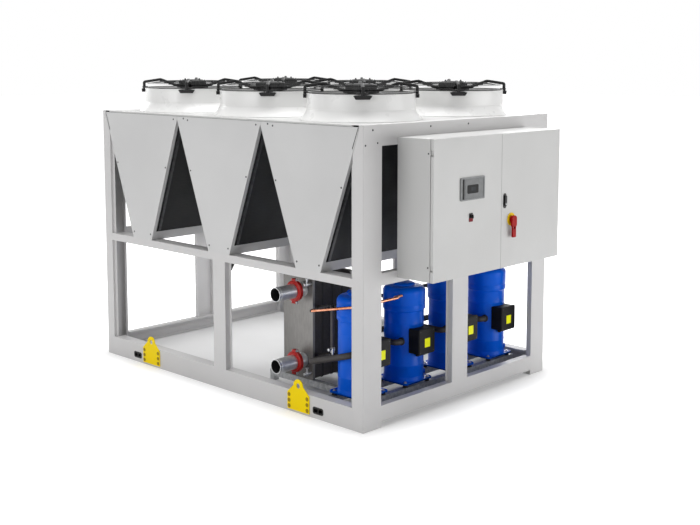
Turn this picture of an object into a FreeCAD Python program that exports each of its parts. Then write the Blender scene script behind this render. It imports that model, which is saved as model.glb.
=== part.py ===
import FreeCAD, Part
import math
import os
from types import SimpleNamespace

import Sketcher

# Air-cooled chiller with V-shaped condenser modules, drawn in millimetres.
# X runs along the long side and points at the control cabinet, -Y is the side of the water
# pipes, Z is up. The origin is the centre of the base, on the ground.

doc = FreeCAD.newDocument("air_cooled_chiller")

# Driving dimensions: one row each, as alias, value and meaning

SIZE_ROWS = [
    ("end_margin", 47, "edge of an outer module to the frame's end"),
    ("frame_width", 2250, "outer width of the steel frame"),
    ("frame_height", 2200, "ground to the top of the fan deck"),
    ("frame_sheet", 3, "thickness of the folded frame sheet"),
    ("post_bend", 6, "corner bend of a post, along each face"),
    ("seam_gap", 0.3, "gap left between pieces that are bolted side by side"),
    ("cut_margin", 1, "how far a cut runs out past a face"),
    ("post_width", 105, "corner post, face on the long side"),
    ("post_depth", 190, "corner post, face on the short side"),
    ("post_return", 45, "corner post, return flange on the short side"),
    ("post_lip", 20, "corner post, lip of the return flange"),
    ("rebate_step", 22, "depth of the rebate beside a corner post"),
    ("rebate_lip", 30, "width of the rebate's lip"),
    ("foot_plate", 8, "thickness of the plate that closes a post's foot"),
    ("foot_hole_radius", 9, "hole for an anchor bolt or spring mount"),
    ("side_post_width", 150, "middle post on the long side"),
    ("side_post_step", 50, "depth of the middle post's sides"),
    ("side_post_lip", 22, "lip of the middle post"),
    ("end_post_width", 190, "middle post on the short side"),
    ("end_post_step", 48, "depth of the short side's middle post"),
    ("end_post_shift", -25, "place of that post across the frame"),
    ("base_rail_height", 165, "base rail of the long side"),
    ("base_rail_flange", 90, "inward flange of that rail"),
    ("rail_lip", 15, "down-turned lip of a rail's top flange"),
    ("end_rail_lift", 44, "ground to the underside of the short side's base rail"),
    ("end_rail_height", 118, "base rail of the short side"),
    ("end_rail_flange", 60, "inward flange of that rail"),
    ("mid_rail_level", 1046, "ground to the underside of the middle rails"),
    ("side_rail_height", 63, "middle rail of the long side"),
    ("side_rail_flange", 120, "top flange that the modules stand on"),
    ("side_rail_foot", 30, "bottom flange of that rail"),
    ("end_mid_height", 89, "middle rail of the short side"),
    ("fascia_height", 150, "fascia below the deck on the short side"),
    ("fascia_foot", 25, "bottom flange of the fascia"),
    ("gusset_leg", 70, "leg of the gusset beside a middle post"),
    ("gusset_sheet", 5, "thickness of that gusset"),
    ("slot_setback", 459, "frame end to the middle of a handling slot"),
    ("slot_length", 100, "length of a handling slot"),
    ("slot_height", 42, "height of a handling slot"),
    ("slot_level", 62, "ground to the centre of a handling slot"),
    ("slot_corner", 10, "cut corner of a handling slot"),
    ("lift_setback", 666, "frame end to the middle of a lifting plate"),
    ("lift_width", 236, "width of a lifting plate"),
    ("lift_head", 100, "width of its head"),
    ("lift_foot", 18, "ground to its lower edge"),
    ("lift_shoulder", 150, "ground to its shoulder"),
    ("lift_top", 262, "ground to its top"),
    ("lift_plate", 12, "thickness of a lifting plate"),
    ("lift_eye_radius", 20, "radius of the lifting eye"),
    ("crossmember_height", 34, "height of a base crossmember"),
    ("crossmember_width", 80, "width of a base crossmember"),
    ("crossmember_pitch", 640, "spacing of the base crossmembers"),
    ("module_pitch", 1030, "spacing of the V-shaped modules"),
    ("module_foot", 263, "width of a module where it stands on the rails"),
    ("apex_drop", 40, "deck top down to where two modules meet"),
    ("panel_sheet", 2, "thickness of a module's side panel"),
    ("panel_gap", 2, "gap between two side panels"),
    ("panel_return", 30, "folded edge of a side panel"),
    ("coil_thickness", 50, "finned coil, across its face"),
    ("coil_inset", 80, "frame side to the end of the fins"),
    ("coil_plate_width", 25, "width of a coil's end plate"),
    ("header_side", 22, "side of a coil's header"),
    ("trough_height", 75, "height of the trough under a module's coils"),
    ("beam_width", 50, "width of a beam under the deck"),
    ("deck_sheet", 3, "thickness of a deck plate"),
    ("deck_lip", 12, "folded edge of a deck plate"),
    ("fan_row_spacing", 1110, "spacing of the two rows of fans"),
    ("deck_hole_radius", 426, "middle of the deck opening to its flats"),
    ("nozzle_radius", 415, "outside radius of a fan nozzle"),
    ("nozzle_sheet", 3, "wall of a fan nozzle"),
    ("nozzle_foot_radius", 465, "outside radius of the nozzle's flared foot"),
    ("nozzle_flare", 84, "height of the flared foot"),
    ("nozzle_height", 201, "deck to the nozzle's rim"),
    ("guard_hub_level", 30, "nozzle rim up to the guard's hub"),
    ("guard_peak_radius", 285, "radius at which a guard arm is highest"),
    ("guard_peak_level", 84, "nozzle rim up to that peak"),
    ("guard_end_level", 54, "nozzle rim up to the arm's outer end"),
    ("guard_arm_depth", 17, "height of a guard arm's section"),
    ("guard_arm_width", 22, "width of a guard arm"),
    ("guard_leg", 25, "radial depth of a guard's leg"),
    ("guard_drop", 34, "nozzle rim down to the foot of a leg"),
    ("guard_foot_width", 130, "width of the foot that clamps the rim"),
    ("guard_foot_height", 25, "height of that foot"),
    ("guard_wire", 8, "thickness of the guard ring"),
    ("motor_radius", 138, "radius of the motor housing"),
    ("motor_top_radius", 96, "radius of the motor's top cover"),
    ("motor_body_height", 40, "height of the motor housing"),
    ("motor_top_height", 32, "height of the motor's top cover"),
    ("running_clearance", 0.05, "radial clearance of a shaft in its bore"),
    ("hub_radius", 105, "radius of the impeller's hub"),
    ("hub_height", 100, "height of the impeller's hub"),
    ("blade_sheet", 5, "thickness of a fan blade"),
    ("blade_tip", 398, "radius of a blade's tip"),
    ("blade_half_chord", 95, "half the width of a blade, seen from above"),
    ("blade_rise", 38, "half the climb of a blade"),
    ("blade_camber", 18, "how far a blade bellies out between its edges"),
    ("blade_sweep", 45, "forward sweep of a blade's tip"),
    ("cabinet_depth", 335, "frame end to the face of the doors"),
    ("cabinet_width", 1566, "width of the control cabinet"),
    ("cabinet_height", 1020, "height of the control cabinet"),
    ("cabinet_drop", 97, "deck down to the top of the control cabinet"),
    ("cabinet_shift", 16, "place of the cabinet across the frame"),
    ("door_seam_shift", 16, "seam of the doors from the cabinet's middle"),
    ("cabinet_sheet", 3, "thickness of the cabinet's walls"),
    ("cabinet_flange", 22, "inward flange round the cabinet's front"),
    ("door_depth", 25, "depth of a door's folded pan"),
    ("door_sheet", 2, "thickness of a door's sheet"),
    ("door_gap", 5, "gap between a door and the cabinet's flange"),
    ("door_seam", 3, "gap between the two doors"),
    ("hinge_inset", 10, "door face and door edge to the hinge axis"),
    ("hinge_offset", 100, "top or bottom of a door to the middle of its hinge"),
    ("hinge_half_height", 15, "half the height of a hinge arm"),
    ("hinge_pin_radius", 4, "radius of a hinge pin"),
    ("knuckle_side", 14, "side of a door knuckle"),
    ("knuckle_height", 15, "height of a door knuckle"),
    ("hinge_arm", 4, "thickness of a hinge arm"),
    ("mounting_sheet", 3, "thickness of the mounting plate"),
    ("mounting_margin", 60, "cabinet wall to the edge of the mounting plate"),
    ("mounting_standoff", 25, "cabinet back to the mounting plate"),
    ("display_width", 283, "bezel of the control display"),
    ("display_height", 170, "bezel of the control display"),
    ("display_depth", 10, "how far the bezel stands out"),
    ("display_level", 641, "underside of the cabinet to the middle of the display"),
    ("display_shift", -328, "place of the display across the frame"),
    ("screen_width", 131, "window of the display"),
    ("screen_height", 65, "window of the display"),
    ("selector_level", 437, "underside of the cabinet to the selector switch"),
    ("selector_shift", -340, "place of the selector switch"),
    ("selector_radius", 15, "radius of the selector's knob"),
    ("spindle_radius", 5, "radius of the spindles through the doors"),
    ("isolator_level", 364, "underside of the cabinet to the isolator's spindle"),
    ("isolator_shift", 157, "place of the isolator across the frame"),
    ("isolator_disc_radius", 50, "radius of the isolator's yellow plate"),
    ("isolator_reach", 136, "length of the isolator's red handle"),
    ("isolator_handle_width", 46, "width of the isolator's handle"),
    ("isolator_handle_depth", 32, "how far the handle stands off its plate"),
    ("lever_level", 512, "underside of the cabinet to the middle of the lever's plate"),
    ("lever_shift", 73, "place of the door lever across the frame"),
    ("lever_width", 36, "width of the lever's plate"),
    ("lever_height", 115, "height of the lever's plate"),
    ("plate_depth", 4, "thickness of the plates on the doors"),
    ("compressor_setback", 373, "frame end to the compressors' axis"),
    ("tandem_spacing", 515, "spacing of the two compressors of a circuit"),
    ("circuit_spacing", 545, "spacing between the two circuits"),
    ("compressor_shift", 10, "place of the compressors across the frame"),
    ("compressor_radius", 157, "radius of a compressor's shell"),
    ("compressor_cap_radius", 167, "radius of its upper cap"),
    ("compressor_level", 152, "ground to a compressor's foot"),
    ("compressor_foot", 330, "side of a compressor's square foot"),
    ("compressor_height", 775, "foot to the top of the dome"),
    ("cap_level", 525, "foot to the rim of the upper cap"),
    ("terminal_width", 190, "terminal box, across"),
    ("terminal_height", 200, "terminal box, up"),
    ("terminal_reach", 241, "compressor axis to the terminal box's face"),
    ("terminal_level", 490, "ground to the middle of a terminal box"),
    ("mount_side", 44, "side of a rubber mount"),
    ("mount_spacing", 260, "spacing of a compressor's rubber mounts"),
    ("skid_tube", 50, "section of the equipment skid's tubes"),
    ("skid_level", 80, "ground to the skid's underside"),
    ("skid_reach", 990, "middle of the frame to the skid's ends"),
    ("evaporator_setback", 1050, "frame end to the middle of the evaporator"),
    ("evaporator_width", 336, "width of the evaporator's end plates"),
    ("evaporator_height", 830, "height of its end plates"),
    ("evaporator_front", 360, "frame side to its front plate"),
    ("evaporator_depth", 450, "depth over both end plates"),
    ("end_plate", 24, "thickness of an end plate"),
    ("end_plate_corner", 40, "corner radius of an end plate"),
    ("pack_margin", 12, "end plate's edge to the plate pack"),
    ("port_shift", 58, "middle of the evaporator to its water ports"),
    ("port_low", 282, "ground to the lower water port"),
    ("port_high", 850, "ground to the upper water port"),
    ("water_radius", 57.15, "outside radius of a water pipe"),
    ("water_wall", 5, "wall of a water pipe"),
    ("water_end", 62, "frame side to the end of a water pipe"),
    ("coupling_radius", 84, "outside radius of a grooved coupling"),
    ("coupling_width", 46, "width of a grooved coupling"),
    ("coupling_offset", 90, "front plate to the middle of a coupling"),
    ("pipe_joint_gap", 3, "gap between two pipe ends inside a coupling"),
    ("suction_radius", 24, "insulated suction line"),
    ("suction_offset", 100, "compressor axis to its suction line, along the frame"),
    ("suction_reach", 205, "compressor axis to its suction line, across the frame"),
    ("copper_radius", 11, "bare copper line"),
    ("header_setback", 640, "frame end to the refrigerant headers"),
]


class Size:
    """A number together with the spreadsheet expression that gives it."""

    def __init__(self, value, text):
        self.value = float(value)
        self.text = text

    def __add__(self, other):
        return join(self, "+", other, lambda a, b: a + b)

    def __radd__(self, other):
        return join(other, "+", self, lambda a, b: a + b)

    def __sub__(self, other):
        return join(self, "-", other, lambda a, b: a - b)

    def __rsub__(self, other):
        return join(other, "-", self, lambda a, b: a - b)

    def __mul__(self, other):
        return join(self, "*", other, lambda a, b: a * b)

    def __rmul__(self, other):
        return join(other, "*", self, lambda a, b: a * b)

    def __truediv__(self, other):
        return join(self, "/", other, lambda a, b: a / b)

    def __neg__(self):
        return join(0, "-", self, lambda a, b: a - b)


def as_size(item):
    return item if isinstance(item, Size) else Size(item, repr(float(item)))


def join(left, sign, right, work):
    left, right = as_size(left), as_size(right)
    return Size(work(left.value, right.value), f"({left.text} {sign} {right.text})")


def root(item):
    return Size(math.sqrt(item.value), f"sqrt({item.text})")


def fill_sheet():
    sheet = doc.addObject("Spreadsheet::Sheet", "Sizes")
    for row, (alias, value, meaning) in enumerate(SIZE_ROWS, start=1):
        sheet.set(f"A{row}", meaning)
        sheet.set(f"B{row}", str(value))
        sheet.setAlias(f"B{row}", alias)
    doc.recompute()
    return SimpleNamespace(**{alias: Size(value, f"Sizes.{alias}") for alias, value, _ in SIZE_ROWS})


S = fill_sheet()
NODES = []


def bind(thing, prop, size):
    thing.setExpression(prop, as_size(size).text)


def node(label, thing):
    """Names the finished object of one sub-part."""
    thing.Label = label
    NODES.append(thing)
    return thing


# Sketches on a body's own planes, with every corner bound to the sheet

def draw_circle(sketch, loop):
    _, across, up, radius = loop
    centre = FreeCAD.Vector(as_size(across).value, as_size(up).value, 0)
    circle = sketch.addGeometry(Part.Circle(centre, FreeCAD.Vector(0, 0, 1), as_size(radius).value))
    place_corner(sketch, circle, 3, across, up)
    mark = sketch.addConstraint(Sketcher.Constraint("Radius", circle, as_size(radius).value))
    bind(sketch, f"Constraints[{mark}]", radius)


def place_corner(sketch, edge, end, across, up):
    for kind, size in (("DistanceX", across), ("DistanceY", up)):
        size = as_size(size)
        mark = sketch.addConstraint(Sketcher.Constraint(kind, -1, 1, edge, end, size.value))
        bind(sketch, f"Constraints[{mark}]", size)


def arc_between(start, finish, radius):
    """An arc of the given radius; its centre lies left of the run when the radius is positive."""
    chord = finish - start
    height = math.sqrt(max(radius * radius - chord.Length ** 2 / 4, 0))
    left = FreeCAD.Vector(-chord.y, chord.x, 0).normalize()
    centre = (start + finish) / 2 + left * math.copysign(height, radius)
    first, last = (start, finish) if radius > 0 else (finish, start)
    circle = Part.Circle(centre, FreeCAD.Vector(0, 0, 1), abs(radius))
    return Part.ArcOfCircle(circle, circle.parameter(first), circle.parameter(last))


def draw_loop(sketch, loop):
    """Draws one closed outline; a corner with a third value is reached by an arc of that radius."""
    if loop[0] == "circle":
        draw_circle(sketch, loop)
        return
    places = [FreeCAD.Vector(as_size(corner[0]).value, as_size(corner[1]).value, 0) for corner in loop]
    edges = []
    for index in range(len(loop)):
        start, finish = places[index - 1], places[index]
        radius = loop[index][2] if len(loop[index]) > 2 else None
        if radius is None:
            edges.append((sketch.addGeometry(Part.LineSegment(start, finish)), 1, 2))
            continue
        turn = as_size(radius).value
        edge = sketch.addGeometry(arc_between(start, finish, turn))
        edges.append((edge, 1, 2) if turn > 0 else (edge, 2, 1))
        mark = sketch.addConstraint(Sketcher.Constraint("Radius", edge, abs(turn)))
        bind(sketch, f"Constraints[{mark}]", radius if turn > 0 else -as_size(radius))
    for index, (edge, _, finish) in enumerate(edges):
        following, start, _ = edges[(index + 1) % len(edges)]
        sketch.addConstraint(Sketcher.Constraint("Coincident", edge, finish, following, start))
        place_corner(sketch, edge, finish, loop[index][0], loop[index][1])


def sketch_on(body, role, offset, loops):
    sketch = body.newObject("Sketcher::SketchObject", "outline")
    origin_plane = next(item for item in body.Origin.OriginFeatures if item.Role == role)
    sketch.AttachmentSupport = (origin_plane, [""])
    sketch.MapMode = "FlatFace"
    bind(sketch, "AttachmentOffset.Base.z", offset)
    for loop in loops:
        draw_loop(sketch, loop)
    return sketch


def new_body(name, x=0, y=0, z=0):
    body = doc.addObject("PartDesign::Body", name)
    for axis, size in (("x", x), ("y", y), ("z", z)):
        bind(body, f"Placement.Base.{axis}", size)
    return body


def add_prism(body, role, loops, low, high):
    """Pads an outline from low to high along the axis that the plane faces."""
    offset = -as_size(high) if role == "XZ_Plane" else low
    pad = body.newObject("PartDesign::Pad", "pad")
    pad.Profile = sketch_on(body, role, offset, loops)
    bind(pad, "Length", as_size(high) - low)
    body.Tip = pad
    return pad


def cut_prism(body, role, loops, low, high):
    """Pockets an outline from low to high along the axis that the plane faces."""
    offset = -as_size(low) if role == "XZ_Plane" else high
    pocket = body.newObject("PartDesign::Pocket", "pocket")
    pocket.Profile = sketch_on(body, role, offset, loops)
    bind(pocket, "Length", as_size(high) - low)
    body.Tip = pocket
    return pocket


def prism(name, role, loops, low, high):
    body = new_body(name)
    add_prism(body, role, loops, low, high)
    return body


def add_revolution(body, loops):
    """Turns outlines of radius and height about the body's own Z axis."""
    turned = body.newObject("PartDesign::Revolution", "revolution")
    sketch = sketch_on(body, "XZ_Plane", 0, loops)
    turned.Profile = sketch
    turned.ReferenceAxis = (sketch, ["V_Axis"])
    turned.Angle = 360
    body.Tip = turned
    return turned


def polar(body, features, count):
    pattern = body.newObject("PartDesign::PolarPattern", "pattern")
    pattern.Originals = features
    axis = next(item for item in body.Origin.OriginFeatures if item.Role == "Z_Axis")
    pattern.Axis = (axis, [""])
    pattern.Angle = 360
    pattern.Occurrences = count
    body.Tip = pattern
    return pattern


# Copies and groups

def moved(thing, x=0, y=0, z=0):
    copy = doc.addObject("Part::Compound", "copy")
    copy.Links = [thing]
    for axis, size in (("x", x), ("y", y), ("z", z)):
        bind(copy, f"Placement.Base.{axis}", size)
    return copy


def mirrored(thing, normal):
    copy = doc.addObject("Part::Mirroring", "mirrored")
    copy.Source = thing
    copy.Normal = normal
    return copy


def group(things):
    gathered = doc.addObject("Part::Compound", "group")
    gathered.Links = things
    return gathered


ACROSS = FreeCAD.Vector(0, 1, 0)
ALONG = FreeCAD.Vector(1, 0, 0)


def both_sides(thing):
    return [thing, mirrored(thing, ACROSS)]


def both_ends(thing):
    return [thing, mirrored(thing, ALONG)]


def cylinder(name, radius, height, x, y, z):
    rod = doc.addObject("Part::Cylinder", name)
    bind(rod, "Radius", radius)
    bind(rod, "Height", height)
    for axis, size in (("x", x), ("y", y), ("z", z)):
        bind(rod, f"Placement.Base.{axis}", size)
    return rod


# Outlines

def rectangle(across_low, across_high, up_low, up_high):
    return [(across_low, up_low), (across_high, up_low), (across_high, up_high), (across_low, up_high)]


def chamfered(across, up, width, height, cut):
    left, right = across - width / 2, across + width / 2
    low, high = up - height / 2, up + height / 2
    return [(right - cut, low), (right, low + cut), (right, high - cut), (right - cut, high),
            (left + cut, high), (left, high - cut), (left, low + cut), (left + cut, low)]


def rounded(across, up, width, height, radius):
    left, right = across - width / 2, across + width / 2
    low, high = up - height / 2, up + height / 2
    return [(right - radius, low), (right, low + radius, radius), (right, high - radius),
            (right - radius, high, radius), (left + radius, high), (left, high - radius, radius),
            (left, low + radius), (left + radius, low, radius)]


def octagon(across, up, reach):
    """An eight-sided outline whose flats lie at a distance from its middle."""
    return chamfered(across, up, reach * 2, reach * 2, reach * (2 - math.sqrt(2)))


def many_sided(across, up, radius, sides):
    """A regular outline with its corners at a radius, which stands for a circle."""
    turns = [2 * math.pi * place / sides for place in range(sides)]
    return [(across + radius * math.cos(turn), up + radius * math.sin(turn)) for turn in turns]


# Levels and edges that several pieces share

SIDE = -S.frame_width / 2
OUTER_EDGE = S.module_pitch * 1.5
END = OUTER_EDGE + S.end_margin
FOOT_LEVEL = S.mid_rail_level + S.side_rail_height
APEX_LEVEL = S.frame_height - S.apex_drop
LEAN = (S.module_pitch - S.module_foot) / 2 / (APEX_LEVEL - FOOT_LEVEL)
SLANT = root(LEAN * LEAN + 1)
RAIL_END = END - S.post_width - S.seam_gap
FLANGE_END = END - S.post_width - S.rebate_lip - S.seam_gap
CROSS_END = S.frame_width / 2 - S.post_depth - S.seam_gap
PANEL_TOP = S.frame_height - S.deck_lip - S.seam_gap


def module_edge(level):
    """Half the width of a module at a level."""
    return S.module_foot / 2 + (level - FOOT_LEVEL) * LEAN


# Corner posts: folded sheet with a rebate, a foot plate and a cap

def corner_post():
    x, y, t = END, SIDE, S.frame_sheet
    outside = [
        (x - S.post_width - S.rebate_lip, y + S.rebate_step),
        (x - S.post_width, y + S.rebate_step),
        (x - S.post_width, y),
        (x - S.post_bend, y),
        (x, y + S.post_bend),
        (x, y + S.post_depth),
        (x - S.post_return, y + S.post_depth),
        (x - S.post_return, y + S.post_depth - S.post_lip),
    ]
    inside = [
        (x - S.post_return + t, y + S.post_depth - S.post_lip),
        (x - S.post_return + t, y + S.post_depth - t),
        (x - t, y + S.post_depth - t),
        (x - t, y + S.post_bend + t * 0.41),
        (x - S.post_bend - t * 0.41, y + t),
        (x - S.post_width + t, y + t),
        (x - S.post_width + t, y + S.rebate_step + t),
        (x - S.post_width - S.rebate_lip, y + S.rebate_step + t),
    ]
    body = prism("corner_post", "XY_Plane", [outside + inside], 0, S.frame_height)
    cover = [(x - S.post_width, y), (x - S.post_bend, y), (x, y + S.post_bend), (x, y + S.post_depth),
             (x - S.post_width, y + S.post_depth)]
    hole = ("circle", x - S.post_width / 2, y + S.post_depth / 2, S.foot_hole_radius)
    add_prism(body, "XY_Plane", [cover, hole], 0, S.foot_plate)
    add_prism(body, "XY_Plane", [cover], S.frame_height - S.frame_sheet, S.frame_height)
    low, gap = APEX_LEVEL - S.frame_height / 2, S.panel_gap
    notch = [
        (S.module_pitch, low),
        (S.module_pitch + module_edge(low) + gap, low),
        (OUTER_EDGE + gap, APEX_LEVEL),
        (OUTER_EDGE + gap, S.frame_height + S.cut_margin),
        (S.module_pitch, S.frame_height + S.cut_margin),
    ]
    cut_prism(body, "XZ_Plane", [notch], y - gap, y + S.panel_return + gap)
    return body


post = corner_post()
node("corner_posts", group(both_sides(post) + both_ends(post)[1:] + both_sides(mirrored(post, ALONG))[1:]))


# Middle posts: hat sections that stand on the base rails

def hat(middle, wall, inward, width, step, lip, swapped):
    half, t = width / 2, S.frame_sheet
    corners = [(-half, 0), (half, 0), (half, step - t), (half + lip, step - t), (half + lip, step),
               (half - t, step), (half - t, t), (t - half, t), (t - half, step),
               (-half - lip, step), (-half - lip, step - t), (-half, step - t)]
    if swapped:
        return [(wall + inward * depth, middle + along) for along, depth in corners]
    return [(middle + along, wall + inward * depth) for along, depth in corners]


side_post = prism(
    "side_post", "XY_Plane",
    [hat(as_size(0), SIDE, 1, S.side_post_width, S.side_post_step, S.side_post_lip, False)],
    S.base_rail_height, S.mid_rail_level)
node("side_mid_posts", group(both_sides(side_post)))

end_hat = hat(S.end_post_shift, END, -1, S.end_post_width, S.end_post_step, S.side_post_lip, True)
end_post = prism("end_post", "XY_Plane", [end_hat], S.end_rail_lift + S.end_rail_height, S.mid_rail_level)
cabinet_post = prism("cabinet_post", "XY_Plane", [end_hat],
                     S.mid_rail_level + S.end_mid_height, S.frame_height - S.fascia_height)
node("end_mid_posts", group(both_ends(end_post) + [cabinet_post]))


# Rails: channels that open inwards

def channel(name, role, wall, inward, low, height, top, bottom, web_end, flange_end):
    """A folded channel; its web may run on past the ends of its flanges."""
    t, lip = S.frame_sheet, S.rail_lip
    high = low + height
    section = [(bottom, low), (0, low), (0, high), (top, high), (top, high - lip), (top - t, high - lip),
               (top - t, high - t), (t, high - t), (t, low + t), (bottom, low + t)]
    body = prism(name, role, [[(wall + inward * depth, up) for depth, up in section]],
                 -flange_end, flange_end)
    if web_end is not None:
        web = rectangle(wall, wall + inward * t, low, high)
        add_prism(body, role, [web], -web_end, web_end)
    return body


side_rail = channel("base_side_rail", "YZ_Plane", SIDE, 1, 0, S.base_rail_height,
                    S.base_rail_flange, S.base_rail_flange, RAIL_END, FLANGE_END)
handling_slots = [chamfered(sign * (END - S.slot_setback), S.slot_level, S.slot_length, S.slot_height,
                            S.slot_corner)
                  for sign in (-1, 1)]
cut_prism(side_rail, "XZ_Plane", handling_slots, SIDE - S.cut_margin, SIDE + S.frame_sheet + S.cut_margin)
node("base_side_rails", group(both_sides(side_rail)))

node("base_end_rails", group(both_ends(channel(
    "base_end_rail", "XZ_Plane", END, -1, S.end_rail_lift, S.end_rail_height,
    S.end_rail_flange, S.end_rail_flange, None, CROSS_END))))

node("mid_side_rails", group(both_sides(channel(
    "mid_side_rail", "YZ_Plane", SIDE, 1, S.mid_rail_level, S.side_rail_height,
    S.side_rail_flange, S.side_rail_foot, RAIL_END, FLANGE_END))))

node("mid_end_rails", group(both_ends(channel(
    "mid_end_rail", "XZ_Plane", END, -1, S.mid_rail_level, S.end_mid_height,
    S.end_rail_flange, S.side_rail_foot, None, CROSS_END))))

node("top_end_fascias", group(both_ends(channel(
    "top_end_fascia", "XZ_Plane", END, -1, S.frame_height - S.fascia_height, S.fascia_height,
    S.post_width, S.fascia_foot, None, CROSS_END))))

BEAM_TOP = S.frame_height - S.deck_sheet - S.seam_gap
RAIL_WALL = SIDE + S.deck_sheet + S.seam_gap
TOP_RAIL_FLANGE = S.beam_width * 0.8
node("top_side_rails", group(both_sides(channel(
    "top_side_rail", "YZ_Plane", RAIL_WALL, 1, APEX_LEVEL + S.panel_gap, BEAM_TOP - APEX_LEVEL - S.panel_gap,
    TOP_RAIL_FLANGE, TOP_RAIL_FLANGE, None, FLANGE_END))))


# Beams across the frame, under the deck and over the tops of the coils

def deck_beam(middle, reach):
    t, half = S.frame_sheet, S.beam_width / 2
    section = [(middle - half, APEX_LEVEL), (middle - half, BEAM_TOP), (middle + half, BEAM_TOP),
               (middle + half, APEX_LEVEL), (middle + half - t, APEX_LEVEL),
               (middle + half - t, BEAM_TOP - t), (middle - half + t, BEAM_TOP - t),
               (middle - half + t, APEX_LEVEL)]
    return prism("deck_beam", "XZ_Plane", [section], -reach, reach)


BEAM_REACH = -RAIL_WALL - TOP_RAIL_FLANGE - S.seam_gap
node("deck_beams", group(both_ends(deck_beam(S.module_pitch / 2, BEAM_REACH))
                         + both_ends(deck_beam(OUTER_EDGE, CROSS_END))))


# Base: crossmembers under a floor pan

PAN_LEVEL = S.frame_sheet + S.crossmember_height
BASE_REACH = S.frame_width / 2 - S.frame_sheet - S.seam_gap


def crossmember(middle):
    t, half = S.frame_sheet, S.crossmember_width / 2
    section = [(middle - half, S.frame_sheet), (middle - half, PAN_LEVEL), (middle + half, PAN_LEVEL),
               (middle + half, S.frame_sheet), (middle + half - t, S.frame_sheet),
               (middle + half - t, PAN_LEVEL - t), (middle - half + t, PAN_LEVEL - t),
               (middle - half + t, S.frame_sheet)]
    return prism("crossmember", "XZ_Plane", [section], -BASE_REACH, BASE_REACH)


node("base_crossmembers", group([crossmember(S.crossmember_pitch * place) for place in (-2, -1, 0, 1, 2)]))

pan_long, pan_wide = END - S.frame_sheet - S.seam_gap, BASE_REACH
pan_notch_long, pan_notch_wide = FLANGE_END, CROSS_END
node("floor_pan", prism("floor_pan", "XY_Plane", [[
    (pan_long, -pan_notch_wide), (pan_long, pan_notch_wide), (pan_notch_long, pan_notch_wide),
    (pan_notch_long, pan_wide), (-pan_notch_long, pan_wide), (-pan_notch_long, pan_notch_wide),
    (-pan_long, pan_notch_wide), (-pan_long, -pan_notch_wide), (-pan_notch_long, -pan_notch_wide),
    (-pan_notch_long, -pan_wide), (pan_notch_long, -pan_wide), (pan_notch_long, -pan_notch_wide),
]], PAN_LEVEL, PAN_LEVEL + S.frame_sheet))


# Gussets between the middle posts and the middle rails

def gusset():
    x, top = S.side_post_width / 2, S.mid_rail_level
    leg = S.gusset_leg
    outline = [(x, top), (x, top - leg), (x + S.side_post_lip, top - leg), (x + leg, top)]
    depth = SIDE + S.side_post_step
    return prism("gusset", "XZ_Plane", [outline], depth, depth + S.gusset_sheet)


bracket = gusset()
node("post_gussets", group(both_ends(bracket) + both_ends(mirrored(bracket, ACROSS))))


# Lifting plates on the outside of the base rails

def lifting_plate(middle):
    half, head = S.lift_width / 2, S.lift_head / 2
    neck = S.lift_top - head
    outline = [(middle - half, S.lift_foot), (middle + half, S.lift_foot), (middle + half, S.lift_shoulder),
               (middle + head, neck), (middle + head * 0.7, neck + head * 0.72),
               (middle + head * 0.3, S.lift_top), (middle - head * 0.3, S.lift_top),
               (middle - head * 0.7, neck + head * 0.72), (middle - head, neck),
               (middle - half, S.lift_shoulder)]
    eye = ("circle", middle, neck, S.lift_eye_radius)
    return prism("lifting_plate", "XZ_Plane", [outline, eye], SIDE - S.lift_plate, SIDE)


lifting = [lifting_plate(sign * (END - S.lift_setback)) for sign in (-1, 1)]
node("lifting_plates", group(lifting + [mirrored(plate, ACROSS) for plate in lifting]))


# Condenser modules: side panels, coils, end plates, headers and troughs

MODULES = (-1, 0, 1)


def side_panel():
    half = S.panel_gap / 2
    top = S.module_pitch / 2 - half
    foot, apex = module_edge(FOOT_LEVEL) - half, module_edge(APEX_LEVEL) - half
    outline = [(-foot, FOOT_LEVEL), (foot, FOOT_LEVEL), (apex, APEX_LEVEL), (top, PANEL_TOP),
               (-top, PANEL_TOP), (-apex, APEX_LEVEL)]
    body = prism("side_panel", "XZ_Plane", [outline], SIDE, SIDE + S.panel_sheet)
    fold = S.panel_sheet * SLANT
    for sign in (-1, 1):
        edge = [(sign * foot, FOOT_LEVEL), (sign * apex, APEX_LEVEL),
                (sign * (apex - fold), APEX_LEVEL), (sign * (foot - fold), FOOT_LEVEL)]
        add_prism(body, "XZ_Plane", [edge], SIDE, SIDE + S.panel_return)
    floor = rectangle(-foot, foot, FOOT_LEVEL, FOOT_LEVEL + S.panel_sheet)
    add_prism(body, "XZ_Plane", [floor], SIDE, SIDE + S.panel_return)
    return body


panel = side_panel()
panels = [moved(panel, x=S.module_pitch * place) for place in MODULES]
node("module_side_panels", group(panels + [mirrored(item, ACROSS) for item in panels]))

COIL_LOW = FOOT_LEVEL + S.panel_sheet + S.seam_gap
COIL_HIGH = APEX_LEVEL - S.seam_gap
COIL_GAP = S.panel_gap / 2 + S.panel_sheet * SLANT + S.seam_gap
COIL_BAND = S.coil_thickness * SLANT
FIN_REACH = S.frame_width / 2 - S.coil_inset


def slanted(inner):
    """Outline of a slab that follows the module's edge, and stands inner behind its face."""
    return [(module_edge(COIL_LOW) - COIL_GAP, COIL_LOW), (module_edge(COIL_HIGH) - COIL_GAP, COIL_HIGH),
            (module_edge(COIL_HIGH) - COIL_GAP - inner, COIL_HIGH),
            (module_edge(COIL_LOW) - COIL_GAP - inner, COIL_LOW)]


def in_every_module(thing):
    """Both coils of each module, as copies of the one on the module's right."""
    pair = both_ends(thing)
    return [moved(side, x=S.module_pitch * place) for place in MODULES for side in pair]


coil = prism("coil", "XZ_Plane", [slanted(COIL_BAND)], -FIN_REACH, FIN_REACH)
node("condenser_coils", group(in_every_module(coil)))

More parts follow.
